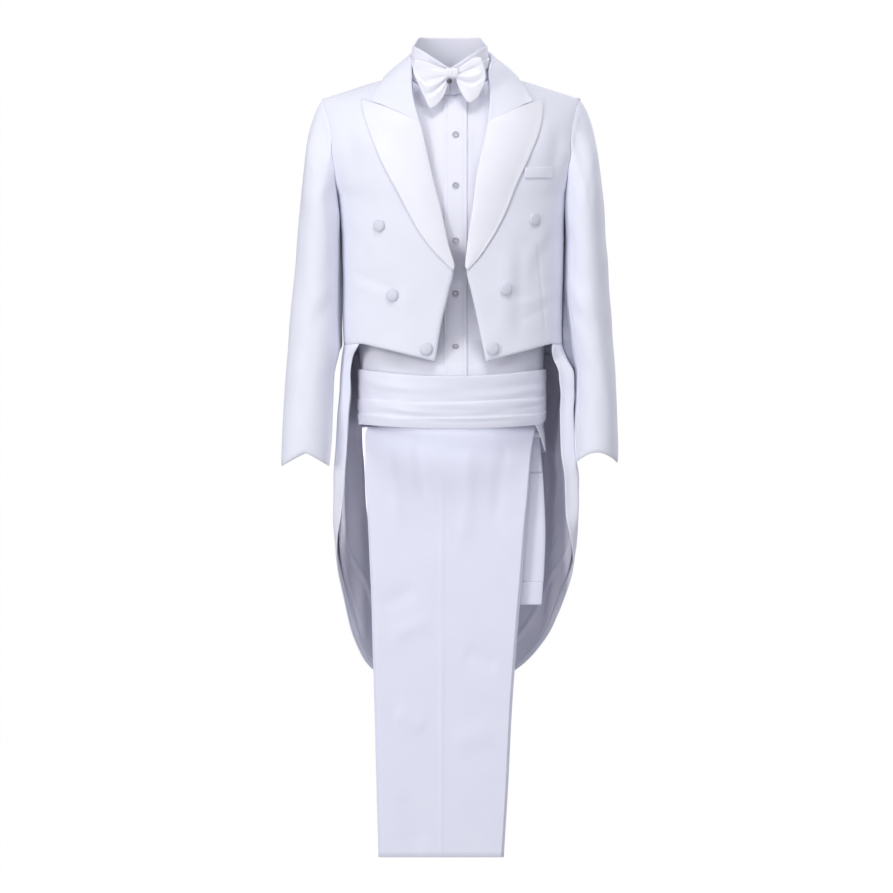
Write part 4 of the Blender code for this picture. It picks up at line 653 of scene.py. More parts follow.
def wall(name, outer, thick, finish, lining=None, ring=False, away=None, rim=0.32, inner=None):
    """Close a grid into a thin wall of cloth whose edges are rolled."""
    rows, columns = outer.shape[:2]
    if inner is None:
        inner = outer - grid_normals(outer, away, ring) * thick
    numbers, under = numbered(outer), numbered(outer, rows * columns)
    if ring:
        numbers, under = closed(numbers), closed(under)
        loops = [[(0, c) for c in range(columns)], [(rows - 1, c) for c in range(columns)]]
    else:
        loops = [[(0, c) for c in range(columns)] + [(r, columns - 1) for r in range(1, rows)]
                 + [(rows - 1, c) for c in range(columns - 2, -1, -1)]
                 + [(r, 0) for r in range(rows - 2, 0, -1)]]
    faces, inner_faces = skin(numbers), skin(under, turned=True)
    points = [outer.reshape(-1, 3), inner.reshape(-1, 3)]
    across, along = arc(outer, 1), arc(outer, 0)
    across = across - across[:, columns // 2:columns // 2 + 1]
    uv = np.stack((across, along), axis=-1).reshape(-1, 2)
    uvs = [uv, uv]
    count = 2 * rows * columns
    rims = []
    for loop in loops:
        row, column = np.array(loop).T
        direction = np.zeros((len(loop), 3))
        for edge, axis, step in ((0, 0, 1), (rows - 1, 0, -1), (0, 1, 1), (columns - 1, 1, -1)):
            if axis and ring:
                continue
            on = (column if axis else row) == edge
            near = outer[row + (0 if axis else step) * on, column + (step if axis else 0) * on]
            direction[on] += unit(outer[row, column] - near)[on]
        middle = (outer[row, column] + inner[row, column]) / 2 + unit(direction) * thick * rim
        mids = np.arange(count, count + len(loop))
        count += len(loop)
        points.append(middle)
        uvs.append(uv[row * columns + column])
        turned = ring and loop[0][0] != 0
        first = numbers[row, column]
        second = under[row, column]
        around = [np.append(line, line[0]) for line in (first, mids, second)]
        rims += [quads(around[1], around[0], turned), quads(around[2], around[1], turned)]
    rims = np.concatenate(rims)
    kinds = np.zeros(len(faces) + len(inner_faces) + len(rims))
    if lining is not None:
        kinds[len(faces):len(faces) + len(inner_faces)] = 1
    finishes = [finish] if lining is None else [finish, lining]
    return build_mesh(name, np.concatenate(points), np.concatenate((faces, inner_faces, rims)),
                      kinds, np.concatenate(uvs), finishes)


def cut_of(grid, ring=False):
    """Width, length and area of the flat cloth that a grid stands for."""
    if ring:
        grid = closed(grid)
    a, b, c, d = grid[:-1, :-1], grid[:-1, 1:], grid[1:, 1:], grid[1:, :-1]
    area = (np.linalg.norm(np.cross(b - a, c - a), axis=-1).sum()
            + np.linalg.norm(np.cross(c - a, d - a), axis=-1).sum()) / 2
    width, length = float(arc(grid, 1)[:, -1].max()), float(arc(grid, 0)[-1].max())
    return width, length, float(np.clip(area, 0.3 * width * length, width * length))


def cloth(name, grid, thick, finish, nodes, lining=None, ring=False, away=None,
          inner=None):
    """A sheet of cloth: the piece, with the solids it stands for hidden; its cut is measured but not kept."""
    made = wall(name, grid, thick, finish, lining, ring, away, inner=inner)
    width, length, area = cut_of(grid, ring)
    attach(made, "root")
    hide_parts(*nodes)
    return made


def hard(made, slot, *nodes):
    """A piece that isn't a sheet, with the solids that it stands for."""
    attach(made, "root")
    if nodes:
        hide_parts(*nodes)
    return made


def closed_rings(name, rings, finish):
    """A closed form through rings of points, its two ends drawn together to a point."""
    numbers, tip = closed(numbered(rings)), rings[..., 0].size
    ends = [quads(numbers[0], np.full(numbers.shape[1], tip), turned=True),
            quads(numbers[-1], np.full(numbers.shape[1], tip + 1))]
    faces = np.concatenate([skin(numbers)] + ends)
    points = np.concatenate((rings.reshape(-1, 3), rings[:1].mean(1), rings[-1:].mean(1)))
    uv = np.stack((arc(rings, 1), arc(rings, 0)), axis=-1).reshape(-1, 2)
    return build_mesh(name, points, faces, np.zeros(len(faces)), np.concatenate((uv, uv[:1], uv[-1:])),
                      [finish])


# ---------------------------------------------------------------- materials
def linear(code):
    """A colour of a hex code in sRGB as the linear numbers that the shader takes."""
    parts = [int(code[place:place + 2], 16) / 255 for place in (1, 3, 5)]
    return tuple(c / 12.92 if c <= 0.04045 else ((c + 0.055) / 1.055) ** 2.4 for c in parts) + (1.0,)


def add_node(tree, kind, settings=None, **links):
    """Add one node: its settings by name, its inputs by name from a value or another socket."""
    node = tree.nodes.new(kind)
    for key, value in (settings or {}).items():
        setattr(node, key, value)
    for key, value in links.items():
        numbered_input = key[0] == "i" and key[1:].isdigit()
        socket = node.inputs[int(key[1:]) if numbered_input else key.replace("_", " ")]
        if isinstance(value, bpy.types.NodeSocket):
            tree.links.new(value, socket)
        else:
            socket.default_value = value
    return node


def start_material(name, rough, **fixed):
    made = bpy.data.materials.new(name)
    made.use_nodes = True
    tree = made.node_tree
    shader = tree.nodes["Principled BSDF"]
    shader.inputs["Roughness"].default_value = rough
    for key, value in fixed.items():
        shader.inputs[key.replace("_", " ")].default_value = value
    return made, tree, shader


def tinted(tree, shader, light, dark, fac):
    """Colour the shader between a dark and a light tone by a pattern."""
    mix = add_node(tree, "ShaderNodeMix", {"data_type": "RGBA"}, i0=fac, i6=linear(dark), i7=linear(light))
    tree.links.new(mix.outputs[2], shader.inputs["Base Color"])


WAVES_A_METRE = 3.2              # of the wave texture at scale 1
TWILL_PITCH = 0.0022
RIB_PITCH = 0.0018


def cloth_map(tree):
    return add_node(tree, "ShaderNodeUVMap", {"uv_map": "cloth"}).outputs[0]


def object_map(tree):
    return add_node(tree, "ShaderNodeTexCoord").outputs["Object"]


def noise(tree, place, scale, detail, **more):
    return add_node(tree, "ShaderNodeTexNoise", None, Vector=place, Scale=scale, Detail=detail,
                    **more).outputs[0]


def stripes(tree, place, direction, pitch, distortion):
    settings = {"wave_type": "BANDS", "bands_direction": direction}
    return add_node(tree, "ShaderNodeTexWave", settings, Vector=place, Scale=1 / pitch / WAVES_A_METRE,
                    Distortion=distortion, Detail=1.0).outputs[1]


def grown(tree, pattern, share, other, clamp=False):
    """The other pattern and a share of this one."""
    settings = {"operation": "MULTIPLY_ADD", "use_clamp": clamp}
    return add_node(tree, "ShaderNodeMath", settings, i0=pattern, i1=share, i2=other).outputs[0]


def reduced(tree, pattern, share, clamp=False):
    settings = {"operation": "MULTIPLY", "use_clamp": clamp}
    return add_node(tree, "ShaderNodeMath", settings, i0=pattern, i1=share).outputs[0]


def bumpy(tree, shader, height, strength, distance):
    bump = add_node(tree, "ShaderNodeBump", None, Strength=strength, Distance=distance, Height=height)
    tree.links.new(bump.outputs[0], shader.inputs["Normal"])


def worsted(name, light, dark):
    """Fine worsted twill, matt with a short nap: the eye gets a soft, even white with a faint
    steep diagonal line.  Real twill lines lie 0.9 mm apart, drawn here 2.2 mm apart to show."""
    made, tree, shader = start_material(name, 0.82, Sheen_Weight=0.18, Sheen_Roughness=0.45,
                                        Specular_IOR_Level=0.25)
    place = cloth_map(tree)
    turned = add_node(tree, "ShaderNodeMapping", None, Vector=place, Rotation=(0, 0, math.radians(63)))
    twill = stripes(tree, turned.outputs[0], "X", TWILL_PITCH, distortion=0.6)
    yarn = noise(tree, place, scale=900.0, detail=2.0)
    cloud = noise(tree, place, scale=16.0, detail=3.0)
    grain = grown(tree, yarn, 0.5, twill)
    bumpy(tree, shader, grain, strength=0.16, distance=0.0004)
    tinted(tree, shader, light, dark, grown(tree, cloud, 0.55, reduced(tree, grain, 0.42), clamp=True))
    return made


def satin(name, light, dark, rough, sheen):
    """Woven satin: long floats along the piece, so the eye gets a soft streaky gloss.
    Floats are 1 mm by 0.2 mm, drawn as streaks about 1.2 mm wide."""
    made, tree, shader = start_material(name, rough, Sheen_Weight=sheen, Sheen_Roughness=0.3,
                                        Specular_IOR_Level=0.5, Anisotropic=0.45)
    place = cloth_map(tree)
    long_way = add_node(tree, "ShaderNodeMapping", None, Vector=place, Scale=(820.0, 70.0, 1.0))
    floats = noise(tree, long_way.outputs[0], scale=1.0, detail=3.0)
    cloud = noise(tree, place, scale=22.0, detail=2.0)
    bumpy(tree, shader, floats, strength=0.10, distance=0.0003)
    tinted(tree, shader, light, dark, grown(tree, cloud, 0.6, reduced(tree, floats, 0.4), clamp=True))
    return made


def poplin(name, light, dark):
    """Cotton poplin, pressed: the eye gets a clean crisp white with a fine crosswise rib.
    Ribs are 0.35 mm apart, drawn 1.8 mm apart to show."""
    made, tree, shader = start_material(name, 0.72, Sheen_Weight=0.05, Specular_IOR_Level=0.3)
    place = cloth_map(tree)
    rib = stripes(tree, place, "Y", RIB_PITCH, distortion=0.4)
    grain = grown(tree, noise(tree, place, scale=420.0, detail=2.0), 0.6, rib)
    bumpy(tree, shader, grain, strength=0.10, distance=0.0003)
    tinted(tree, shader, light, dark, reduced(tree, grain, 0.7, clamp=True))
    return made


def pearl(name, light, dark):
    """Imitation mother-of-pearl, cast and polished: clear gloss over a cloudy white."""
    made, tree, shader = start_material(name, 0.22, Coat_Weight=0.4, Coat_Roughness=0.12,
                                        Specular_IOR_Level=0.55)
    tinted(tree, shader, light, dark, noise(tree, object_map(tree), scale=260.0, detail=3.0, Distortion=1.5))
    return made


def painted(name, light, dark):
    """White powder coat on the bar: low gloss with a faint orange peel."""
    made, tree, shader = start_material(name, 0.42, Specular_IOR_Level=0.5)
    peel = noise(tree, object_map(tree), scale=700.0, detail=2.0)
    bumpy(tree, shader, peel, strength=0.15, distance=0.0002)
    tinted(tree, shader, light, dark, peel)
    return made


WHITE_TWILL = worsted("white worsted twill", "#F0F1FC", "#E5E6F3")
TROUSER_TWILL = worsted("white trouser twill", "#F0F1FF", "#E6E7F8")
FACING_SATIN = satin("white facing satin", "#F5F5FC", "#ECECF7", 0.44, 0.25)
# the buttons are covered in the lapels' white satin; the greyer tones here are painted shade
BUTTON_SATIN_WITH_PAINTED_SHADE = satin("white button satin greyed as painted shade", "#E3E3EE", "#D3D3E0", 0.50, 0.15)
BOW_SATIN = satin("white bow satin", "#F4F4FB", "#E9E9F3", 0.34, 0.3)
SASH_SATIN = satin("white sash satin", "#F0F0FC", "#E5E5F4", 0.40, 0.25)
# a light-grey satin, toned greyer still as painted shade of the inside of the tails
TAIL_LINING_WITH_PAINTED_SHADE = satin("light-grey lining satin with painted shade", "#DEDDEA", "#C9C8D8", 0.38, 0.2)
COAT_LINING = satin("coat lining satin", "#D3D3E2", "#C6C6D8", 0.42, 0.2)
SHIRT_POPLIN = poplin("white shirt poplin", "#F3F3FD", "#E9E9F6")
PEARL = pearl("pearly shirt button", "#C6C5D0", "#A3A2B0")
# dark as painted shade of the gap under the bow's knot
STUD_OF_PAINTED_SHADE = pearl("collar stud darkened as painted shade", "#6A606C", "#3E3742")
THREAD = worsted("white sewing thread", "#EEEEFA", "#DEDEEE")
BAR_PAINT = painted("white powder coat", "#E8E8EE", "#DEDEE6")

# ---------------------------------------------------------------- the tailcoat
def front_surface(side):
    """A coat front: rows from the hem to the shoulder seam, columns from its edge to the side."""
    across = column_share(steps(FRONT_COLUMNS))[None, :]
    part = steps(FRONT_LOW_ROWS)[:, None]
    corner = opening_edge(side, FRONT_CORNER)
    reach = lerp(corner, coat.half(side, WAIST_SEAM), across)
    climb = np.clip((reach - corner) / (SIDE_POINT[side] - corner), 0, 1)
    z = lerp(lerp(FRONT_CORNER, WAIST_SEAM, climb), -ARMHOLE_DEPTH, part)
    low = coat.point(side, lerp(opening_edge(side, z), coat.half(side, z), across), z)
    rise = ease_up(steps(FRONT_HIGH_ROWS, 1))[:, None]
    inner_z = lerp(-ARMHOLE_DEPTH, NECK_POINT[1], rise)
    outer_z = lerp(-ARMHOLE_DEPTH, SHOULDER_POINT[1], rise)
    inner_out = lerp(opening_edge(side, inner_z), NECK_POINT[0], smooth(inner_z / NECK_POINT[1]))
    outer_out = armhole_row(coat, side, outer_z, False)
    outer_out = to_shoulder(outer_out, SHOULDER_POINT[0], rise)
    high = coat.point(side, lerp(inner_out, outer_out, across), lerp(inner_z, outer_z, across))
    return np.concatenate((low, high))


def front_heights(side, grid):
    """Folds, dart and turned edges of a coat front."""
    out, z = np.abs(grid[..., 0]), grid[..., 2]
    heights = folds(out, z, FRONT_FOLDS[side]) + uneven(out, z, size=0.11, rise=0.0005, seed=11 + side)
    heights += edge_roll(grid, "l", width=0.006, depth=0.0024) * short_of(z, CUTAWAY_TOP, over=0.02)
    heights += edge_roll(grid, "b", width=0.005, depth=0.0012)
    heights += edge_roll(grid, "rt", width=0.003, depth=0.0003)
    return heights


def coat_front(side):
    grid = front_surface(side)
    grid = trimmed(pressed(grid, front_heights(side, grid)), first_row=SEAM / 2, last_row=SEAM / 2,
                   last_column=SEAM / 2)
    name = SIDE_NAMES[side]
    cloth("front_panel_" + name, grid, WOOL, WHITE_TWILL, ["coat_front_" + name],
          COAT_LINING)


def coat_side(side):
    """The side body, between the side seam and the side-back seam, up to the armhole."""
    rows = []
    back_top = coat.angle_at(side, armhole_row(coat, side, BACK_SEAM_TOP, True), BACK_SEAM_TOP)
    share = steps(SIDE_COLUMNS)
    for part in steps(SIDE_ROWS):
        angle_top = lerp(90.0, back_top, share)
        turn = np.arcsin(np.minimum((angle_top - 90.0) / ARMHOLE_BACK_DEG, 1.0))
        z = lerp(WAIST_SEAM, -ARMHOLE_DEPTH / 2 * (1.0 + np.cos(turn)), part)
        seam_z = lerp(WAIST_SEAM, BACK_SEAM_TOP, part)
        seam = np.minimum(BACK_SEAM("width", seam_z), armhole_row(coat, side, BACK_SEAM_TOP, True))
        rows.append(coat.ring(side, lerp(90.0, coat.angle_at(side, seam, seam_z), share), z))
    grid = np.array(rows)
    out, z = np.abs(grid[..., 0]), grid[..., 2]
    heights = uneven(grid[..., 1], z, size=0.10, rise=0.0005, seed=21 + side)
    heights += edge_roll(grid, "lrbt", width=0.0035, depth=0.0009)
    heights += folds(out, z, BACK_FOLDS[side][-1:])
    grid = trimmed(pressed(grid, heights), first_row=SEAM / 2, first_column=SEAM / 2, last_column=SEAM / 2)
    name = SIDE_NAMES[side]
    cloth("side_panel_" + name, grid, WOOL, WHITE_TWILL, ["coat_side_" + name],
          COAT_LINING)


def middle_angle(side, z):
    """The middle of the back: half a seam, and below the waist half the vent's gap."""
    out = lerp(SEAM / 2, VENT_GAP / 2, short_of(z, WAIST_SEAM, over=0.04))
    return coat.angle_at(side, out, z)


def tail_surface(side, from_edge, columns, bottom=TAIL_END):
    """Part of a tail: from its cut edge to the side-back seam, or from there to the middle."""
    z = lerp(bottom, WAIST_SEAM, steps(TAIL_ROWS) ** 1.25)[:, None]
    seam = coat.angle_at(side, BACK_SEAM("width", z), z)
    edge = TAIL_EDGE(SIDE_NAMES[side], z)
    start, end = (edge, seam) if from_edge else (seam, middle_angle(side, z))
    angle = lerp(start, end, steps(columns)[None, :])
    grid = coat.ring(side, angle, z)
    calm = 1.0 - past(angle, edge, over=EDGE_CALM_DEG)
    grid[..., :2] *= lerp(1.0, 1.0 / coat.ripple(side, angle, z), calm)[..., None]
    turned_back = short_of(z, -0.442, over=0.022) * past(z, -0.800, over=0.09)
    grid[..., 1] += EDGE_TURN[side] * turned_back * (1.0 - past(angle, edge, over=15.0))
    return grid


def coat_skirt(side):
    """A tail's outer part, sewn on at the waist seam."""
    grid = tail_surface(side, True, SKIRT_COLUMNS)
    heights = edge_roll(grid, "l", width=0.006, depth=0.0010)
    heights += edge_roll(grid, "rt", width=0.004, depth=0.0010)
    heights += uneven(arc(grid, 1), grid[..., 2], size=0.12, rise=0.0004, seed=31 + side)
    grid = trimmed(pressed(grid, heights), last_row=SEAM, last_column=SEAM / 2)
    name = SIDE_NAMES[side]
    cloth("tail_panel_" + name, grid, WOOL, WHITE_TWILL, ["tail_skirt_" + name])


def neckline(form, out):
    """Height of a back's top edge: a curve at the nape, then the slope of the shoulder."""
    rise = form.shoulder(NECK_POINT[0]) - (NAPE_HEIGHT - form.drop)
    inside = NAPE_HEIGHT - form.drop + rise * (out / NECK_POINT[0]) ** 3
    return np.where(out >= NECK_POINT[0], form.shoulder(out), inside)


def coat_back(side):
    """A back, running on below the waist as the inner strip of its tail."""
    parts = [tail_surface(side, False, BACK_COLUMNS)]
    rows = []
    for part in steps(BACK_LOW_ROWS, 1):
        z = lerp(WAIST_SEAM, BACK_SEAM_TOP, part)
        seam = np.minimum(BACK_SEAM("width", z), armhole_row(coat, side, BACK_SEAM_TOP, True))
        start = coat.angle_at(side, seam, z)
        rows.append(coat.ring(side, lerp(start, middle_angle(side, z), steps(BACK_COLUMNS)), z))
    parts.append(np.array(rows))
    base = np.abs(rows[-1][:, 0])
    share = (base - base[-1]) / (base[0] - base[-1])
    rise = ease_up(steps(BACK_HIGH_ROWS, 1))[:, None]
    outer_out = armhole_row(coat, side, lerp(BACK_SEAM_TOP, SHOULDER_POINT[1], rise), True)
    outer_out = to_shoulder(outer_out, SHOULDER_POINT[0], rise)
    top = neckline(coat, lerp(base[-1], SHOULDER_POINT[0], share))[None, :]
    out = lerp(base[-1], outer_out, share[None, :])
    z = np.minimum(lerp(BACK_SEAM_TOP, top, rise), coat.shoulder(out))
    parts.append(coat.point(side, out, z, back=True))
    grid = np.concatenate(parts)
    out, z = np.abs(grid[..., 0]), grid[..., 2]
    heights = folds(out, z, BACK_FOLDS[side]) + uneven(out, z, size=0.12, rise=0.0005, seed=41 + side)
    heights += edge_roll(grid, "lrt", width=0.0035, depth=0.0009)
    below = short_of(z, WAIST_SEAM + 0.004, over=0.03)
    heights += below * 0.0016 * hump(arc(grid, 1), width=0.008)
    grid = trimmed(pressed(grid, heights), last_row=SEAM / 2, first_column=SEAM / 2)
    name = SIDE_NAMES[side]
    cloth("back_panel_" + name, grid, WOOL, WHITE_TWILL, ["coat_back_" + name],
          COAT_LINING)


def tail_lining(side):
    """The satin inside a tail, a little loose and drawn into upright streaks."""
    beside = tail_surface(side, True, LINING_BESIDE_COLUMNS, LINING_END)
    behind = tail_surface(side, False, LINING_BEHIND_COLUMNS, LINING_END)
    grid = np.concatenate((beside, behind[:, 1:]), axis=1)
    grid = grid[grid[:, 0, 2] < WAIST_SEAM - 0.012]
    normals = grid_normals(grid)
    across, z = arc(grid, 1), grid[..., 2]
    puckers = np.abs(uneven(across, z, size=0.07, rise=0.0007, seed=51 + side))
    streaks = np.sin(across / 0.0065 + z * 9.0 + side) * np.sin(across / 0.019 + 2.0 * side) ** 2
    puckers = puckers + STREAK_RISE * np.maximum(streaks, 0.0) ** 1.5 * past(across, 0.010, over=0.015)
    loose = hump(across - 0.036, width=0.017) * short_of(z, -0.470, over=0.06) * past(z, -0.860, over=0.12)
    grid = grid - normals * (LINING_INSET + 0.0006 + puckers + LINING_LOOSE[side] * loose)[..., None]
    columns = grid.shape[1]
    inset = np.clip(1.0 - steps(columns - 1) * columns / LINING_EDGE_COLUMNS, 0.0, 1.0)[None, :, None]
    inset = inset * lerp(*EDGE_SHOWN, short_of(grid[:, :1, 2:], -0.700, over=0.10))
    towards = unit(grid[:, LINING_EDGE_COLUMNS + 1] - grid[:, 0])[:, None]
    grid = grid + towards * inset
    grid = trimmed(grid, last_column=0.004, last_row=0.003)
    name = SIDE_NAMES[side]
    cloth("tail_satin_" + name, grid, LINING, TAIL_LINING_WITH_PAINTED_SHADE, ["tail_lining_" + name])


def rolled(centre, facing, leaf, fold, radius, behind_deg):
    """Arcs of points round a folded edge, from behind it to its front, and the way to the leaf."""
    into = unit(leaf - fold)
    into = unit(into - facing * (into * facing).sum(-1, keepdims=True))
    turn = np.radians(np.broadcast_to(behind_deg, len(fold))[:, None] * (1.0 - steps(ROLL_STEPS)))[..., None]
    arcs = centre[:, None] + radius * (-into[:, None] * np.sin(turn) + facing[:, None] * np.cos(turn))
    return arcs, into


LAPEL_LIFT = 0.0026
LAPEL_SWELL = (0.0012, 0.0042)   # of its middle, at its lower end and from four fifths of its height
LAPEL_ROLL_RADIUS, LAPEL_ROLL_SINK = 0.0036, 0.001
COLLAR_ROLL_RADIUS, COLLAR_ROLL_SINK = 0.0032, 0.0030
COLLAR_ROLL_DEG = 165.0


def lapel_lift(part, share):
    """How far the lapel stands off the front: part of the way up, share of the way across."""
    swell = LAPEL_SWELL[0] + (LAPEL_SWELL[1] - LAPEL_SWELL[0]) * past(part, 0.0, over=0.8)
    return LAPEL_LIFT + swell * np.sin(math.pi * share ** 0.8)


def lapel(side):
    """The peaked lapel: satin turned back along the roll line, with a soft rolled fold."""
    part = steps(LAPEL_ROWS)
    inner_z, outer_z = lerp(ROLL_END, GORGE_INNER_HEIGHT, part), lerp(ROLL_END, PEAK_HEIGHT, part)
    edge, tip = opening_edge(side, inner_z), lapel_edge(side, outer_z)
    share = steps(LAPEL_COLUMNS, 1)[None, :]
    out = lerp(edge[:, None], tip[:, None], share)
    z = lerp(inner_z[:, None], outer_z[:, None], share)
    lift = lapel_lift(part[:, None], share) + 0.0008 * hump(share - 0.96, width=0.05)
    lift = lift + uneven(out, z, size=0.09, rise=0.0003, seed=61 + side)
    leaf = coat.lifted(side, out, z, False, lift)
    fold = coat.point(side, edge, inner_z)
    facing = coat.normal(side, fold)
    centre = fold - facing * LAPEL_ROLL_SINK
    behind_deg = 150.0 * past(part, 0.0, over=0.06) + 15.0
    roll, _ = rolled(centre, facing, leaf[:, 4], fold, LAPEL_ROLL_RADIUS, behind_deg)
    grid = np.concatenate((roll, leaf), axis=1)
    name = SIDE_NAMES[side]
    away = np.concatenate((roll - centre[:, None], np.broadcast_to(facing[:, None], leaf.shape)), axis=1)
    cloth("lapel_facing_" + name, grid, FACING, FACING_SATIN, ["lapel_" + name],
          away=away)


COLLAR_STATIONS = np.array((
    # fold_out, fold_y, fold_z, leaf_out, leaf_z, on_back; the first ones follow the roll line
    (0.0, 0.0, -0.0200, 0.1350, 0.0060, 0), (0.0, 0.0, 0.0000, 0.1295, 0.0150, 0),
    (0.0, -0.0580, 0.0230, 0.1240, 0.0230, 0), (0.0, -0.0340, 0.0480, 0.1200, 0.0290, 0),
    (0.0765, -0.0030, 0.0680, 0.1165, 0.0350, 0), (0.0740, 0.0300, 0.0790, 0.1080, 0.0260, 1),
    (0.0630, 0.0530, 0.0850, 0.0900, 0.0130, 1), (0.0430, 0.0700, 0.0880, 0.0600, 0.0080, 1),
    (0.0215, 0.0780, 0.0890, 0.0300, 0.0060, 1), (0.0000, 0.0800, 0.0890, 0.0000, 0.0060, 1)))
NOTCH_SHARE = 0.82
COLLAR_LIFT = 0.0030
GORGE_LAP = 0.0014               # how far down the collar's end lies over the top of the lapel
BACK_FOLD_HEIGHT = 0.085         # above it the fold lies where the stations say


def through(points, count):
    """A smooth curve through points, with the given number of steps between two of them."""
    points = np.asarray(points, dtype=float)
    wide = np.concatenate((2 * points[:1] - points[1:2], points, 2 * points[-1:] - points[-2:-1]))
    made = []
    for place in range(len(points) - 1):
        a, b, c, d = wide[place:place + 4]
        for t in steps(count)[:-1]:
            made.append(0.5 * (2 * b + (c - a) * t + (2 * a - 5 * b + 4 * c - d) * t * t
                               + (3 * b - a - 3 * c + d) * t ** 3))
    made.append(points[-1])
    return np.array(made)


def coat_top(side):
    """The upper part of a coat half, front and back, to measure distances from."""
    points, faces = [], []
    for back in (False, True):
        share = steps(40)[:, None]
        out = lerp(0.0 if back else 0.055, SHOULDER_POINT[0], steps(40))[None, :]
        top = neckline(coat, out) if back else coat.shoulder(np.maximum(out, NECK_POINT[0] - 0.012))
        z = lerp(-0.090, np.minimum(top, coat.shoulder(out)), ease_up(share))
        grid = coat.point(side, out, z, back)
        faces.append(skin(numbered(grid, sum(len(part) for part in points)), back == (side > 0)))
        points.append(grid.reshape(-1, 3))
    return BVHTree.FromPolygons(np.concatenate(points).tolist(), np.concatenate(faces).tolist())


def blurred(values, rounds, keep_edges=True):
    """The same numbers with each one drawn towards its neighbours in the grid."""
    for _ in range(rounds):
        wide = np.pad(values, ((1, 1), (1, 1), (0, 0)), mode="edge")
        calm = (wide[:-2, 1:-1] + wide[2:, 1:-1] + wide[1:-1, :-2] + wide[1:-1, 2:]) / 4
        if keep_edges:
            calm[:, 0], calm[:, -1] = values[:, 0], values[:, -1]
            calm[0] = values[0]
        values = lerp(values, calm, 0.6)
    return values


def clear_of_coat(side, points, clearance):
    """Lift points off the coat until they are a clearance away from it, and calm the lift."""
    tree = coat_top(side)
    clearance = np.broadcast_to(clearance, points.shape[:2])
    for rounds in (6, 4, 2):
        push = np.zeros_like(points)
        for place in np.ndindex(points.shape[:2]):
            spot, facing = tree.find_nearest(points[place])[:2]
            gap = float((points[place] - np.array(spot)) @ np.array(facing))
            push[place] = np.array(facing) * max(clearance[place] - gap, 0.0)
        points = points + blurred(push, rounds, keep_edges=False)
    return blurred(points, 4)


def collar_half(side):
    """One side of the turned-down collar, from the gorge to the middle of the back."""
    gorge_in, gorge_out = opening_edge(side, GORGE_INNER_HEIGHT), lapel_edge(side, PEAK_HEIGHT)
    rows = [(0.0, 0.0, GORGE_INNER_HEIGHT - GORGE_LAP, lerp(gorge_in, gorge_out, NOTCH_SHARE),
             lerp(GORGE_INNER_HEIGHT, PEAK_HEIGHT, NOTCH_SHARE) - GORGE_LAP, 0)]
    rows = np.concatenate((rows, COLLAR_STATIONS))
    folds_at, leaves_at = [], []
    for fold_out, fold_y, fold_z, leaf_out, leaf_z, on_back in rows:
        out = fold_out if fold_out or fold_z > BACK_FOLD_HEIGHT else opening_edge(side, fold_z)
        fold = coat.lifted(side, np.array(out), np.array(fold_z), False, np.array(COLLAR_LIFT))
        if fold_y or fold_z > BACK_FOLD_HEIGHT:
            fold = np.array((side * out, fold_y, fold_z))
        folds_at.append(fold)
        leaves_at.append(coat.lifted(side, np.array(leaf_out), np.array(leaf_z), bool(on_back),
                                     np.array(COLLAR_LIFT + 0.001)))
    halves = []
    for spots in (folds_at, leaves_at):
        beyond_middle = spots[-2] * np.array((-1.0, 1.0, 1.0))
        halves.append(through(spots + [beyond_middle], STATION_STEPS)[:-STATION_STEPS])
    return halves


def coat_collar():
    """The collar: a stand inside the neck, a rolled fold, and the leaf that lies on the coat."""
    halves = []
    for side in (-1, +1):
        fold, leaf = collar_half(side)
        share = steps(COLLAR_COLUMNS, 1)[None, :, None]
        spots = lerp(fold[:, None], leaf[:, None], share)
        along = steps(len(fold) - 1)
        away = past(along, 0.0, over=0.30)[:, None]
        spots[..., 2] += 0.0055 * np.sin(math.pi * share[..., 0]) * away
        near_gorge = short_of(along, 0.10, over=0.10)[:, None]
        spots[..., 2] += 0.0036 * past(share[..., 0], 0.55, over=0.30) * near_gorge
        gorge = np.maximum(lapel_lift(1.0, share[..., 0] * NOTCH_SHARE) - 0.0018, 0.0022)
        spots = clear_of_coat(side, spots, lerp(gorge, COLLAR_LIFT + 0.0008, away))
        facing = coat.normal(side, fold)
        round_neck = unit(fold * LEVEL + np.array((0.0, 0.0, 0.012)))
        facing = unit(lerp(facing, round_neck, past(along, 0.22, over=0.25)[:, None]))
        roll, into = rolled(fold - facing * COLLAR_ROLL_SINK, facing, spots[:, 5], fold,
                            COLLAR_ROLL_RADIUS, COLLAR_ROLL_DEG)
        deep = 0.002 + 0.040 * past(along, 0.20, over=0.45)
        down = unit(lerp(into, np.array((0.0, 0.0, -1.0)), past(along, 0.15, over=0.3)[:, None]))
        stand_share = (1.0 - steps(STAND_COLUMNS)[:-1])[None, :, None]
        stand = roll[:, :1] + down[:, None] * deep[:, None, None] * stand_share
        halves.append(np.concatenate((stand, roll, spots), axis=1))
    grid = np.concatenate((halves[0], halves[1][::-1][1:]))
    away = grid * LEVEL + np.array((0.0, 0.0, 0.05))
    away[:, :STAND_COLUMNS] *= -1.0
    away[:, STAND_COLUMNS:STAND_COLUMNS + ROLL_STEPS - 1] *= 0.0
    cloth("collar_leaf", grid, COLLAR_CLOTH, WHITE_TWILL, ["coat_collar"],
          away=away)


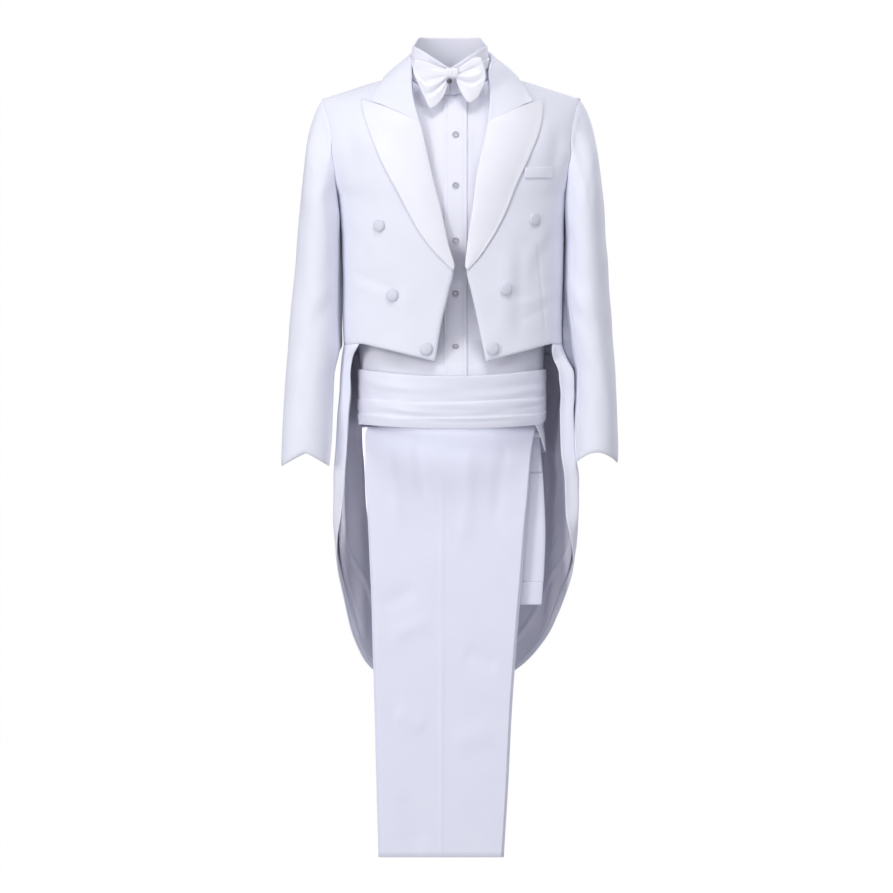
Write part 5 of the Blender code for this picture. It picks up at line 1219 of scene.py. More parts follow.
def sleeve_surface(side):
    """The whole tube of a sleeve, one column for each angle round the arm."""
    turn_deg = np.linspace(-180.0, 180.0, SLEEVE_COLUMNS + 1)[None, :-1]
    turn = np.radians(turn_deg)
    table = SLEEVE[side]
    rim = armhole(coat, side, turn_deg)
    part = steps(SLEEVE_ROWS)[:, None]
    arch = CUFF_ARCH[side] * (1.0 - np.abs(np.cos(turn)) ** CUFF_POWER[side])
    z = lerp(rim[..., 2], SLEEVE_HEM[side] + arch, part ** 1.25)

    def tube(height):
        middle = (table("outer", height) + table("inner", height)) / 2
        half = (table("outer", height) - table("inner", height)) / 2
        y = table("y", height) - table("depth", height) * np.sin(turn)
        return stack(side * (middle + half * np.cos(turn)), y, height)

    pull = 1.0 - short_of(z, rim[..., 2], over=CAP_BLEND)
    grid = tube(z) + (rim - tube(rim[..., 2])) * pull[..., None]
    behind = grid[..., 1] > 0
    deep = np.minimum(np.abs(grid[..., 1]) / np.where(behind, COAT("back", z), COAT("front", z)), 1.0)
    body = coat.half(side, z) * (1.0 - deep ** SECTION_POWER) ** (1.0 / SECTION_POWER)
    # the stretches that hang against the body, behind and in front, as humps with a flat top
    near_back = hump((turn_deg + 146.0) ** 2, width=36.0 ** 2)
    near_back = near_back * short_of(z, -0.160, over=0.035) * past(z, HANG_END[side], over=0.035)
    near_front = hump((turn_deg - 150.0) ** 2, width=34.0 ** 2)
    near_front = near_front * short_of(z, -0.130, over=0.045) * past(z, -0.262, over=0.06)
    near = near_back + near_front
    most = np.where(behind, HANG_PULL[side], HANG_PULL_FRONT)
    hang = SLEEVE_HANG[side] + 0.0035 * (side < 0) * short_of(z, WAIST_SEAM, over=0.03)
    grid[..., 0] -= side * np.clip(np.abs(grid[..., 0]) - body - hang, 0.0, most) * near
    return grid, np.broadcast_to(turn_deg, z.shape), z


def sleeves(side):
    """The top and the under sleeve, cut out of one tube at its two seams."""
    grid, turn_deg, z = sleeve_surface(side)
    table = SLEEVE[side]
    low = np.minimum(z, -0.06)
    middle = stack(side * (table("outer", low) + table("inner", low)) / 2, table("y", low), z - 0.01)
    heights = folds(turn_deg, z, SLEEVE_FOLDS[side])
    heights += uneven(turn_deg * 0.001, z, size=0.10, rise=0.0006, seed=71 + side)
    along = arc(grid, 0)
    upper = past(np.cos(np.radians(turn_deg)), -0.35, over=0.8)
    heights += 0.0009 * upper * hump(along - 0.012, width=0.008)
    heights -= 0.0003 * hump(along, width=0.003)
    heights -= 0.0010 * hump(along, width=0.004) * hump(turn_deg, width=14.0)
    heights -= 0.0008 * np.clip(1 - (along[-1:] - along) / 0.004, 0, 1) ** 2
    for seam in (SLEEVE_FRONT_SEAM_DEG, SLEEVE_BACK_SEAM_DEG - 360.0):
        heights -= 0.0008 * hump((turn_deg - seam) * SLEEVE_METRES_A_DEGREE, width=0.0022)
    tight = past(np.abs(turn_deg), 118.0, over=30.0)
    heights = lerp(heights, np.minimum(heights, 0.0) * 0.4, tight)
    grid = pressed(grid, heights, grid - middle, ring=True)
    normals = grid_normals(grid, grid - middle, ring=True)
    turns = turn_deg[0]
    back = turns[np.abs(turns - SLEEVE_BACK_SEAM_DEG + 360.0).argmin()]
    top = np.where((turns >= back) & (turns <= SLEEVE_FRONT_SEAM_DEG))[0]
    under = np.concatenate((np.where(turns >= SLEEVE_FRONT_SEAM_DEG)[0], np.where(turns <= back)[0]))
    name = SIDE_NAMES[side]
    parts = (("sleeve_outer_", "sleeve_top_", top), ("sleeve_lower_", "sleeve_under_", under))
    for label, node, columns in parts:
        outer = grid[:, columns]
        inner = outer - normals[:, columns] * WOOL
        edges = {"first_column": SEAM, "last_column": SEAM}
        cloth(label + name, trimmed(outer, **edges), WOOL, WHITE_TWILL, [node + name],
              COAT_LINING, inner=trimmed(inner, **edges))


WELT_ENDS = (0.1290, 0.1790)
WELT_TOP, WELT_HEIGHT, WELT_SLANT = -0.1265, 0.0185, 0.0015


def breast_welt():
    """The breast pocket's welt, laid on the left front."""
    share, drop = steps(30)[None, :], steps(12)[:, None]
    out = lerp(*WELT_ENDS, share)
    z = WELT_TOP - WELT_HEIGHT * drop + WELT_SLANT * share
    base = coat.point(+1, out, z)
    heights = folds(out, z, FRONT_FOLDS[+1])
    heights = heights + 0.0006 + COLLAR_CLOTH + 0.0004 * np.sin(math.pi * drop)
    grid = base + coat.normal(+1, base) * heights[..., None]
    cloth("pocket_welt", grid, COLLAR_CLOTH, WHITE_TWILL, ["breast_welt"])


# ---------------------------------------------------------------- the shirt
SHIRT_HEM_FRONT = -0.574
SHIRT_HEM_SIDE = {+1: -0.626, -1: -0.573}
SHIRT_HEM_BACK = -0.640
SHIRT_ARMPIT = -0.185
SHIRT_SHORT = 0.012
SHIRT_NECK_OUT = 0.0760
SHIRT_NECK_FRONT = -0.001
NECK_START = 0.72
PLACKET_LAP = 0.005
BAND_LIFT = 0.0008
BAND_SHARES = (0.34, 0.62)       # where the bow's band lies, in shares of the standing collar's height
COLLAR_GAP_DEG = 0.6             # from the middle of the front to each end of the standing collar
BAND_GAP_DEG = 12.0              # the same for the bow's band, whose ends the knot hides
SHIRT_NECK = {"half": 0.0668, "middle": -0.002, "front": -0.062, "back": 0.062,
              "top_front": 0.0500, "top_side": 0.0930, "top_back": 0.1100,
              "base_front": 0.0040, "base_side": 0.0360, "base_back": 0.0400}
# soft folds of the shirt's front: as the coat's
SHIRT_FOLDS = ((0.020, -0.060, 0.034, -0.300, 0.004, 0.008, 0.0012),
               (0.045, -0.030, 0.050, -0.200, -0.004, 0.009, -0.0012),
               (0.060, -0.400, 0.050, -0.490, 0.004, 0.010, 0.0015),
               (0.090, -0.390, 0.086, -0.490, -0.004, 0.009, -0.0016),
               (0.120, -0.380, 0.112, -0.490, 0.004, 0.010, 0.0014),
               (0.145, -0.400, 0.140, -0.500, 0.003, 0.008, -0.0012))


def neck_surface(angle, share):
    """The standing collar: angle round the neck, 0 in front, and share of its height."""
    turn, neck = np.radians(angle), SHIRT_NECK
    x = neck["middle"] + neck["half"] * np.sin(turn)
    middle_y = (neck["front"] + neck["back"]) / 2
    y = middle_y - (neck["back"] - neck["front"]) / 2 * np.cos(turn)
    sideways = np.abs(np.sin(turn))
    rise = short_of(sideways, 1.0, over=0.20) ** 0.65
    ahead = np.cos(turn) >= 0
    top = np.where(ahead, lerp(neck["top_front"], neck["top_side"], sideways),
                   lerp(neck["top_side"], neck["top_back"], rise))
    base = np.where(ahead, lerp(neck["base_front"], neck["base_side"], sideways ** 2),
                    lerp(neck["base_side"], neck["base_back"], rise))
    spread = 1.0 + 0.05 * (1.0 - share)
    return stack((x - neck["middle"]) * spread + neck["middle"], (y - middle_y) * spread + middle_y,
                 lerp(base, top, share))


def shirt_collar():
    angle = np.linspace(COLLAR_GAP_DEG, 360.0 - COLLAR_GAP_DEG, 181)[None, :]
    grid = neck_surface(angle, steps(26)[:, None])
    heights = edge_roll(grid, "t", width=0.004, depth=0.0006)
    heights += uneven(angle * 0.001, grid[..., 2], size=0.06, rise=0.0003, seed=5)
    grid = pressed(grid, heights)
    cloth("standing_collar", grid, STANDING_COLLAR_CLOTH, SHIRT_POPLIN, ["shirt_collar"])


def bow_band():
    angle = np.linspace(BAND_GAP_DEG, 360.0 - BAND_GAP_DEG, 161)[None, :]
    grid = neck_surface(angle, lerp(*BAND_SHARES, steps(8))[:, None])
    grid = pressed(grid, np.full(grid.shape[:2], BAND_LIFT + SATIN))
    cloth("neck_band", grid, SATIN * 0.9, BOW_SATIN, ["bow_band"])


def placket_edge(side):
    return PLACKET_WIDTH / 2 + side * SHIRT_MIDDLE


def sewn_to_collar(grid, first_row, weight, angle):
    """Draw the top of a shirt panel to the lower edge of the standing collar."""
    edge = neck_surface(angle, -0.02)
    grid[first_row:] += (edge[:, None] - grid[first_row:, :1])[:, :1] * weight[first_row:, :, None]
    return grid


def shirt_front(side):
    """A shirt front, sewn to the standing collar and laid under the placket."""
    start = placket_edge(side) - PLACKET_LAP
    share = steps(SHIRT_FRONT_COLUMNS)[None, :]
    across = column_share(share)
    hem = lerp(SHIRT_HEM_FRONT, SHIRT_HEM_SIDE[side], past(90.0 * share, 62.0, over=26.0))
    z = lerp(hem, SHIRT_ARMPIT, steps(SHIRT_LOW_ROWS)[:, None])
    low = shirt.point(side, lerp(start, shirt.half(side, z), across), z)
    rise = ease_up(steps(SHIRT_HIGH_ROWS, 1))[:, None]
    neck_side = shirt.shoulder(SHIRT_NECK_OUT)
    round_neck = math.pi / 2 * np.maximum((rise - NECK_START) / (1.0 - NECK_START), 0.0)
    inner_out = lerp(start, SHIRT_NECK_OUT, np.sin(round_neck))
    inner_z = lerp(SHIRT_ARMPIT, SHIRT_NECK_FRONT, np.minimum(rise / NECK_START, 1.0))
    inner_z = lerp(inner_z, neck_side, 1.0 - np.cos(round_neck))
    end_out = SHOULDER_POINT[0] - SHIRT_SHORT
    outer_z = lerp(SHIRT_ARMPIT, shirt.shoulder(end_out), rise)
    outer_out = armhole_row(shirt, side, outer_z, False) - SHIRT_SHORT * rise
    outer_out = to_shoulder(outer_out, end_out, rise)
    high = shirt.point(side, lerp(inner_out, outer_out, across), lerp(inner_z, outer_z, across))
    grid = np.concatenate((low, high))
    first = len(grid) - int((rise > NECK_START).sum())
    round_share = round_neck[round_neck > 0] / (math.pi / 2)
    turn = np.degrees(lerp(math.asin(start / NECK_RADIUS), math.pi / 2, round_share))
    weight = np.broadcast_to((1.0 - across) ** 5, grid.shape[:2])
    grid = sewn_to_collar(grid, first, weight, turn if side > 0 else 360.0 - turn)
    out, z = np.abs(grid[..., 0]), grid[..., 2]
    heights = folds(out, z, SHIRT_FOLDS) + uneven(out, z, size=0.08, rise=0.0004, seed=81 + side)
    heights = np.minimum(heights - 0.0006, 0.0007)
    heights = heights * past(out - start, 0.004, over=0.02)
    heights = lerp(heights, np.minimum(heights, 0.0) * 0.5, short_of(z, -0.470, over=0.02))
    grid = trimmed(pressed(grid, heights), last_row=SEAM / 2, last_column=SEAM / 2)
    name = SIDE_NAMES[side]
    cloth("shirt_panel_" + name, grid, POPLIN, SHIRT_POPLIN, ["shirt_front_" + name])


def shirt_back():
    """The shirt's back in one piece, as two halves that meet in the middle."""
    halves = []
    share = steps(SHIRT_BACK_COLUMNS)
    end_out = SHOULDER_POINT[0] - SHIRT_SHORT
    for side in (-1, +1):
        across = column_share(share)[None, :]
        angle = 180.0 - 90.0 * share[None, :]
        start = 90.0 if side > 0 else 112.0
        hem = lerp(SHIRT_HEM_SIDE[side], SHIRT_HEM_BACK, past(angle, start, over=170.0 - start))
        z = lerp(hem, SHIRT_ARMPIT, steps(SHIRT_LOW_ROWS)[:, None])
        low = shirt.point(side, shirt.half(side, z) * across, z, back=True)
        rise = ease_up(steps(SHIRT_HIGH_ROWS, 1))[:, None]
        outer_z = lerp(SHIRT_ARMPIT, shirt.shoulder(end_out), rise)
        outer_out = armhole_row(shirt, side, outer_z, True) - SHIRT_SHORT * rise
        outer_out = to_shoulder(outer_out, end_out, rise)
        z = lerp(SHIRT_ARMPIT, neckline(shirt, end_out * across), rise)
        z = np.minimum(z, shirt.shoulder(outer_out * across))
        halves.append(np.concatenate((low, shirt.point(side, outer_out * across, z, back=True))))
    grid = np.concatenate((halves[0][:, ::-1], halves[1][:, 1:]), axis=1)
    x = grid[-1, :, 0]
    angle = 180.0 - np.degrees(np.arcsin(np.clip(x / NECK_RADIUS, -1.0, 1.0)))
    raise_to = (neck_surface(angle, -0.02) - grid[-1]) * short_of(np.abs(x), 0.094, over=0.020)[:, None]
    near_top = past(steps(len(grid) - 1), 0.80, over=0.20)[:, None, None]
    grid = grid + raise_to[None] * near_top ** 2
    heights = uneven(grid[..., 0], grid[..., 2], size=0.10, rise=0.0007, seed=91)
    grid = trimmed(pressed(grid, np.minimum(heights, 0.0004)), last_row=SEAM / 2,
                   first_column=SEAM / 2, last_column=SEAM / 2)
    cloth("shirt_back_panel", grid, POPLIN, SHIRT_POPLIN, ["shirt_back"])


def shirt_placket():
    z = lerp(SHIRT_HEM_FRONT, SHIRT_NECK_FRONT + 0.009, steps(150))[:, None]
    x = SHIRT_MIDDLE + PLACKET_WIDTH * (steps(20)[None, :] - 0.5)
    base = shirt.point(+1, np.abs(x), z)
    base[..., 0] = x
    normals = shirt.normal(+1, base)
    lift = PLACKET_GAP + POPLIN + uneven(x, z, size=0.05, rise=0.0002, seed=7)
    lift = lift - 0.0004 * hump(np.abs(x - SHIRT_MIDDLE) - PLACKET_STITCH, width=0.0011)
    grid = base + normals * lift[..., None]
    cloth("placket_strip", grid, POPLIN, SHIRT_POPLIN, ["shirt_placket"])


# ---------------------------------------------------------------- the bow tie
BOW_DEPTH, BOW_LEAN, BOW_LEAN_FROM = -0.0790, 0.22, 0.045
KNOT_SIDES = (-0.0100, 0.0125)
KNOT_HEIGHT = 0.0405
WINGS = {
    -1: Curves("along top_x top_z low_x low_z", (0.00, -0.0050, 0.0460, -0.0040, 0.0240),
               (0.33, -0.0240, 0.0540, -0.0141, -0.0035), (0.66, -0.0450, 0.0625, -0.0353, -0.0232),
               (0.85, -0.0560, 0.0650, -0.0500, 0.0040), (1.00, -0.0625, 0.0655, -0.0617, 0.0300)),
    +1: Curves("along top_x top_z low_x low_z", (0.00, 0.0100, 0.0475, 0.0100, 0.0240),
               (0.33, 0.0260, 0.0595, 0.0185, 0.0040), (0.66, 0.0430, 0.0690, 0.0335, -0.0125),
               (0.85, 0.0510, 0.0690, 0.0480, -0.0020), (1.00, 0.0575, 0.0550, 0.0547, 0.0123)),
}
# creases of each wing: share along at the start, share across there, the same at the end, width, rise
WING_CREASES = {
    -1: ((0.0, 0.36, 0.75, 0.40, 0.045, -0.0034), (0.0, 0.58, 0.85, 0.72, 0.050, -0.0040),
         (0.0, 0.47, 0.75, 0.54, 0.055, 0.0020), (0.0, 0.16, 0.60, 0.20, 0.05, 0.0014),
         (0.0, 0.84, 0.5, 0.88, 0.05, -0.0016)),
    +1: ((0.0, 0.38, 0.75, 0.22, 0.045, -0.0034), (0.0, 0.66, 0.75, 0.56, 0.050, -0.0036),
         (0.0, 0.50, 0.80, 0.40, 0.055, 0.0020), (0.0, 0.82, 0.55, 0.86, 0.05, -0.0018),
         (0.0, 0.12, 0.5, 0.08, 0.05, 0.0012)),
}


def bow_y(z):
    """The plane of the bow: upright at its top, then leaning out over the chest."""
    return BOW_DEPTH - BOW_LEAN * np.maximum(0.0, BOW_LEAN_FROM - z)


def bow_wing(side):
    """A wing of the bow: a flat puffed form with creases that run out of the knot."""
    table = WINGS[side]
    part, share = steps(44)[:, None], steps(40)[None, :]
    x = lerp(table("top_x", part), table("low_x", part), share)
    x = x + side * 0.0050 * part ** 3 * np.sin(math.pi * share)
    z = lerp(table("top_z", part), table("low_z", part), share)
    puff = np.sin(math.pi * share) ** 0.5
    swell = 0.0010 + (0.0012 + 0.0042 * np.sin(math.pi * np.minimum(0.15 + 0.7 * part, 1.0))) * puff
    crease = np.zeros_like(x)
    for a0, b0, a1, b1, width, height in WING_CREASES[side]:
        line = lerp(b0, b1, np.clip((part - a0) / (a1 - a0), 0, 1.5))
        fade = smooth(0.35 + part * 4) * short_of(part, a1 + 0.28, over=0.5)
        crease += height * fade * hump(share - line, width)
    front = stack(x, bow_y(z) - np.maximum(swell + crease * puff, 0.0008), z)
    back = stack(x, bow_y(z) + swell * 0.45, z)
    rings = np.concatenate((front, back[:, ::-1][:, 1:-1]), axis=1)
    name = SIDE_NAMES[side]
    made = hard(closed_rings("bow_loop_" + name, rings, BOW_SATIN), "satin", "bow_wing_" + name)


# the dark stud's shank and head: radius and height over the collar; its dark colour is painted shade of the
# gap under the knot
STUD_PROFILE = ((0.0008, -0.0110), (0.0015, -0.0105), (0.0015, 0.0), (0.0044, 0.0), (0.0048, 0.0010),
                (0.0040, 0.0024), (0.0018, 0.0031))


def bow_knot():
    part, turn = steps(26)[:, None], full_turn(48)
    bulge = np.sin(math.pi * (0.12 + 0.76 * part)) ** 0.7
    x = lerp(*KNOT_SIDES, part) + 0.0006 * np.sin(turn)
    deep = 0.0060 + 0.0022 * bulge
    deep = deep - 0.0009 * hump(part - 0.62, width=0.07) - 0.0006 * hump(part - 0.3, width=0.05)
    y = bow_y(0.035) + 0.0004 - deep * signed_power(np.cos(turn), 0.7)
    z = KNOT_HEIGHT + (0.0078 + 0.0022 * bulge) * signed_power(np.sin(turn), 0.75)
    made = hard(closed_rings("bow_centre", stack(x, y, z), BOW_SATIN), "satin", "bow_knot")
    # a stud under the knot whose dark colour is painted shade of the gap there
    centre, facing = np.array((-0.0030, bow_y(0.0265) - 0.0048, 0.0262)), np.array((0.0, -1.0, 0.1))
    hard(closed_rings("stud_of_painted_shade_under_knot", disc_rings(centre, facing, STUD_PROFILE, 24), STUD_OF_PAINTED_SHADE), "button")


# ---------------------------------------------------------------- the cummerbund
# drapery of the sash: along it from the middle, down from its top edge
SASH_HEIGHT = 0.095
SASH_FOLDS = (
    (-0.190, 0.012, -0.010, 0.026, 0.003, 0.0080, 0.0010),
    (-0.020, 0.022, 0.200, 0.018, 0.004, 0.0085, -0.0014),
    (-0.215, 0.038, -0.040, 0.044, 0.002, 0.0070, -0.0009),
    (0.020, 0.040, 0.215, 0.034, -0.003, 0.0070, 0.0010),
    (-0.120, 0.062, 0.080, 0.066, 0.003, 0.0050, 0.0010),
    (0.060, 0.064, 0.215, 0.058, 0.002, 0.0050, -0.0010),
    (-0.060, 0.080, 0.120, 0.082, 0.002, 0.0040, -0.0009))


def waist_surface(angle, share, proud):
    """The cummerbund: angle round the waist, share down from its top edge, and how far out."""
    sizes, turn, power = CUMMERBUND, np.radians(angle), 2.0 / SECTION_POWER
    across = signed_power(np.sin(turn), power)
    ahead = np.cos(turn) > 0
    deep = np.where(ahead, sizes["front"], sizes["back"]) + proud
    y = -deep * signed_power(np.cos(turn), power)
    side_part = np.where(ahead, across ** 2, 1.0)
    top = lerp(sizes["top_front"], sizes["top_side"], side_part)
    bottom = lerp(sizes["bottom_front"], sizes["bottom_side"], side_part)
    narrow = np.where(ahead, 0.0, past(np.abs(np.cos(turn)), 0.05, over=0.55))
    bottom = bottom + HIP_LIFT * past(angle, 66.0, over=24.0) * short_of(angle, 110.0, over=14.0)
    middle = (top + bottom) / 2
    half_band = lerp((top - bottom) / 2, sizes["band_height"] / 2, narrow)
    top, bottom = lerp(top, middle + half_band, narrow > 0), lerp(bottom, middle - half_band, narrow > 0)
    return stack(sizes["middle"] + (sizes["half"] + proud) * across, y, lerp(top, bottom, share))


def cummerbund():
    """The pleated front and the plain band behind."""
    angle = np.linspace(-CUMMERBUND_FRONT_DEG, CUMMERBUND_FRONT_DEG, 161)[None, :]
    share = np.sort(np.concatenate((steps(60), PLEAT_ROWS)))[:, None]
    flat = 1.0 - 0.6 * past(np.abs(angle), 50.0, over=40.0)
    drift = 0.018 * np.sin(np.radians(angle) * 1.7 + 0.8) + 0.008 * np.sin(np.radians(angle) * 5.0)
    proud = PLEATS("proud", np.clip(share + drift * np.sin(math.pi * share), 0, 1)) * flat
    creases = uneven(np.radians(angle) * 0.16 * 0.35, share * 0.1, size=0.030, rise=0.0004, seed=101)
    creases = creases * np.sin(math.pi * share)
    creases = creases + folds(np.radians(angle) * 0.15, share * SASH_HEIGHT, SASH_FOLDS)
    base = waist_surface(angle, share, proud + creases)
    inner = waist_surface(angle, share, -SATIN)
    edges = {"first_column": SEAM, "last_column": SEAM}
    cloth("pleated_sash", trimmed(base, **edges), SATIN, SASH_SATIN, ["cummerbund_front"],
          inner=trimmed(inner, **edges))
    angle = np.linspace(CUMMERBUND_FRONT_DEG, 360 - CUMMERBUND_FRONT_DEG, 121)[None, :]
    share = steps(12)[:, None]
    base, inner = waist_surface(angle, share, 0.0), waist_surface(angle, share, -SATIN)
    cloth("sash_band", trimmed(base, **edges), SATIN, SASH_SATIN, ["cummerbund_band"],
          inner=trimmed(inner, **edges))


# ---------------------------------------------------------------- the trousers
# faint pulls of the hanging leg and, in the last two rows, its pressed crease
LEG_FOLDS = (
    (-0.120, -0.600, -0.090, -0.760, 0.004, 0.012, 0.0024),
    (-0.060, -0.590, -0.045, -0.720, -0.003, 0.010, -0.0020),
    (0.030, -0.595, 0.020, -0.800, 0.004, 0.014, 0.0022),
    (0.100, -0.600, 0.080, -0.760, -0.004, 0.012, -0.0020),
    (-0.110, -0.960, -0.030, -0.925, 0.006, 0.016, 0.0024),
    (-0.125, -0.900, -0.060, -0.860, -0.005, 0.014, -0.0019),
    (0.020, -0.980, 0.085, -1.010, 0.005, 0.016, -0.0022),
    (-0.100, -1.080, -0.040, -1.110, -0.006, 0.018, 0.0022),
    (0.000, -1.150, 0.080, -1.120, 0.005, 0.020, 0.0019),
    (-0.090, -1.230, -0.050, -1.330, 0.003, 0.014, -0.0020),
    (-0.0165, -0.650, -0.0180, -0.940, 0.001, 0.0034, 0.0007),
    (-0.0170, -0.880, -0.0185, -1.400, 0.001, 0.0034, 0.0010))


def leg_edges(z, on_back, shift):
    """The right and left edge of the pressed legs, the shift further out below the bar."""
    shift = shift * short_of(z, BAR_HEIGHT, over=0.25)
    right = np.where(on_back, SEAT("right", z), LEG("right", z)) - shift
    left = np.where(on_back, SEAT("left", z), LEG("left", z)) + shift
    return right, left


def hang_path(radius, back_end):
    """Stations from the hem up the front, over the bar and down behind."""
    up_front = lerp(TROUSER_HEM, BAR_HEIGHT, steps(LEG_ROWS) ** 0.9)
    over_bar = math.pi * steps(BAR_STEPS)[1:-1]
    down_behind = lerp(BAR_HEIGHT, back_end, steps(BEHIND_ROWS))
    turn = np.concatenate((np.zeros(len(up_front)), over_bar, np.full(len(down_behind), math.pi)))
    z = np.concatenate((up_front, BAR_HEIGHT + radius * np.sin(over_bar), down_behind))
    return -radius * np.cos(turn), z, turn


def trouser_leg(side, radius, shift):
    """A leg pressed flat: a tube of two layers, folded over the bar."""
    y, z, turn = hang_path(radius, CROTCH_LEVEL)
    right, left = leg_edges(z, turn > math.pi / 2, shift)
    share = steps(LEG_COLUMNS[side])[None, :]
    swell = np.sin(math.pi * share) ** 0.4
    half = lerp(LEG_EDGE_THICK, LEG_HALF_THICK, swell)
    x = lerp(right[:, None], left[:, None], share)
    outward = stack(0.0, -np.cos(turn), np.sin(turn))[:, None]
    middle = stack(x, (BAR_Y + y)[:, None], z[:, None])
    lift = 0.0
    if side > 0:
        hanging = (turn == 0)[:, None]
        lift = folds(x, z[:, None], LEG_FOLDS) * hanging
        lift = lift + uneven(x, z[:, None], size=0.16, rise=0.0003, seed=111) * swell
    outside = middle + outward * (half + lift)[..., None]
    inside = middle - outward * np.broadcast_to(half, x.shape)[..., None]
    grid = np.concatenate((outside, inside[:, ::-1]), axis=1)
    name = SIDE_NAMES[side]
    cloth("trouser_tube_" + name, grid, LEG_CLOTH, TROUSER_TWILL, ["trouser_leg_" + name],
          ring=True, away=grid - np.concatenate((middle, middle[:, ::-1]), axis=1))


def trouser_seat(side, radius):
    z = lerp(CROTCH_LEVEL - SEAM, WAISTBAND_TOP + SEAM, steps(50))[:, None]
    right, left = leg_edges(z, True, 0.0)
    x = lerp(right, left, steps(40)[None, :])
    grid = stack(x, BAR_Y + radius + SEAT_OFF, z)
    if side > 0:
        grid[..., 1] += uneven(x, z, size=0.10, rise=0.0004, seed=121) - 0.0004
    name = SIDE_NAMES[side]
    away = np.zeros_like(grid)
    away[..., 1] = 1.0
    cloth("seat_layer_" + name, grid, SEAT_CLOTH, TROUSER_TWILL, ["trouser_seat_" + name],
          away=away)


def waistband():
    """The waistband, pressed flat with its opening downwards."""
    middle_y = BAR_Y + (INNER_LEG_RADIUS + OUTER_LEG_RADIUS) / 2
    z = lerp(WAISTBAND_TOP, WAISTBAND_END, steps(16))[:, None]
    right, left = leg_edges(z, True, 0.0)
    turn = full_turn(120)[None, :]
    along = signed_power(np.cos(turn), 0.25)
    x = (right + left) / 2 + (left - right) / 2 * along
    grid = stack(x, middle_y + WAISTBAND_HALF_THICK * np.sin(turn), z)
    away = stack(0.2 * along, np.sin(turn), 0 * z)
    cloth("waistband_strip", grid, WAISTBAND_CLOTH, TROUSER_TWILL, ["trouser_waistband"],
          ring=True, away=away)


def trouser_bar():
    left, right = shirt.half(+1, BAR_HEIGHT) - 0.0060, 0.0060 - shirt.half(-1, BAR_HEIGHT)
    turn = full_turn(40)[None, :]
    rows = []
    for x, share in ((right, 0.6), (right + 0.0004, 0.86), (right + 0.0015, 1.0), (0.0, 1.0),
                     (left - 0.0015, 1.0), (left - 0.0004, 0.86), (left, 0.6)):
        radius = BAR_RADIUS * share
        rows.append(stack(x, BAR_Y + radius * np.cos(turn), BAR_HEIGHT + radius * np.sin(turn))[0])
    hard(closed_rings("bar_rod", np.array(rows), BAR_PAINT), "bar", "trouser_bar")


# ---------------------------------------------------------------- buttons and stitches
def disc_rings(centre, facing, profile, sides):
    """Rings round an axis, from a profile of radius and height."""
    facing = facing / np.linalg.norm(facing)
    across = unit(np.cross(facing, (0.0, 0.0, 1.0)))
    up = np.cross(across, facing)
    turn = full_turn(sides)[:, None]
    spokes = across * np.cos(turn) + up * np.sin(turn)
    return np.array([centre + facing * height + spokes * radius for radius, height in profile])


# profiles as shares of the button's radius and height
BUTTON_RIM = ((0.30, 0.0), (0.80, 0.0), (0.95, 0.10), (1.0, 0.25), (0.985, 0.42))
SHIRT_BUTTON_PROFILE = ((0.5, 0.0), (0.85, 0.0), (0.97, 0.25), (1.0, 0.5), (0.97, 0.85), (0.90, 1.0),
                        (0.80, 0.98), (0.70, 0.72), (0.60, 0.62), (0.3, 0.60))


def covered_button(name, node, centre, facing):
    """A satin-covered dome with the cloth drawn in round its rim."""
    radius, high = 0.01125, 0.0055
    profile = [(radius * wide, high * up) for wide, up in BUTTON_RIM]
    for part in steps(8):
        turn = part * math.pi / 2 * 0.97
        profile.append((radius * 0.96 * math.cos(turn), high * (0.45 + 0.55 * math.sin(turn))))
    rings = disc_rings(centre, facing, profile, 40)
    turn = full_turn(40)
    pucker = np.array([0, 1, 1, 0.6, 0.3] + [0] * (len(profile) - 5))[:, None, None]
    rings = centre + (rings - centre) * (1.0 + 0.012 * np.sin(turn * 14)[None, :, None] * pucker)
    hard(closed_rings(name, rings, BUTTON_SATIN_WITH_PAINTED_SHADE), "satin", node)


THREAD_RADIUS = 0.00045


def shirt_button(name, node, centre, facing):
    """A four-hole button with a raised rim, sewn on with crossed thread."""
    radius, high = 0.00575, 0.0022
    profile = [(radius * wide, high * up) for wide, up in SHIRT_BUTTON_PROFILE]
    rings = disc_rings(centre, facing, profile, 32)
    hard(closed_rings(name, rings, PEARL), "button", node)
    facing = facing / np.linalg.norm(facing)
    across = unit(np.cross(facing, (0.0, 0.0, 1.0)))
    up = np.cross(across, facing)
    for place, (a, b) in enumerate(((1, 1), (1, -1))):
        way = unit(across * a + up * b)
        side_way = np.cross(way, facing)
        part, turn = np.linspace(-1, 1, 9)[:, None], full_turn(8)[None, :]
        arch = 0.0006 * (1 - part ** 4)
        middle = centre + facing * (high * 0.56 + arch + 0.0002 * place)[..., None]
        middle = middle + way * (0.0021 * part)[..., None]
        ring = (middle + facing * (THREAD_RADIUS * np.sin(turn))[..., None]
                + side_way * (THREAD_RADIUS * np.cos(turn))[..., None])
        hard(closed_rings(name + "_thread_%d" % (place + 1), ring, THREAD), "button")


def buttons():
    for name, (x, z) in COAT_BUTTONS.items():
        side = 1 if x > 0 else -1
        point = coat.point(side, np.array(abs(x)), np.array(z))
        facing = coat.normal(side, point)
        lift = 0.0009 + float(folds(np.array(abs(x)), np.array(z), FRONT_FOLDS[side]))
        covered_button(name.replace("coat_button", "front_button"), name,
                       point + facing * max(lift, 0.0006), facing)
    for side in (+1, -1):
        point = coat.point(side, np.array(BACK_BUTTON_OUT), np.array(BACK_BUTTON_HEIGHT), back=True)
        facing = coat.normal(side, point)
        covered_button("tail_button_" + SIDE_NAMES[side], "waist_button_" + SIDE_NAMES[side],
                       point + facing * 0.0012, facing)
    for place, z in enumerate(SHIRT_BUTTON_HEIGHTS):
        point = shirt.point(+1, np.array(SHIRT_MIDDLE), np.array(z))
        facing = shirt.normal(+1, point)
        shirt_button("pearl_button_%d" % (place + 1), "shirt_button_%d" % (place + 1),
                     point + facing * (PLACKET_GAP + POPLIN + 0.0002), facing)


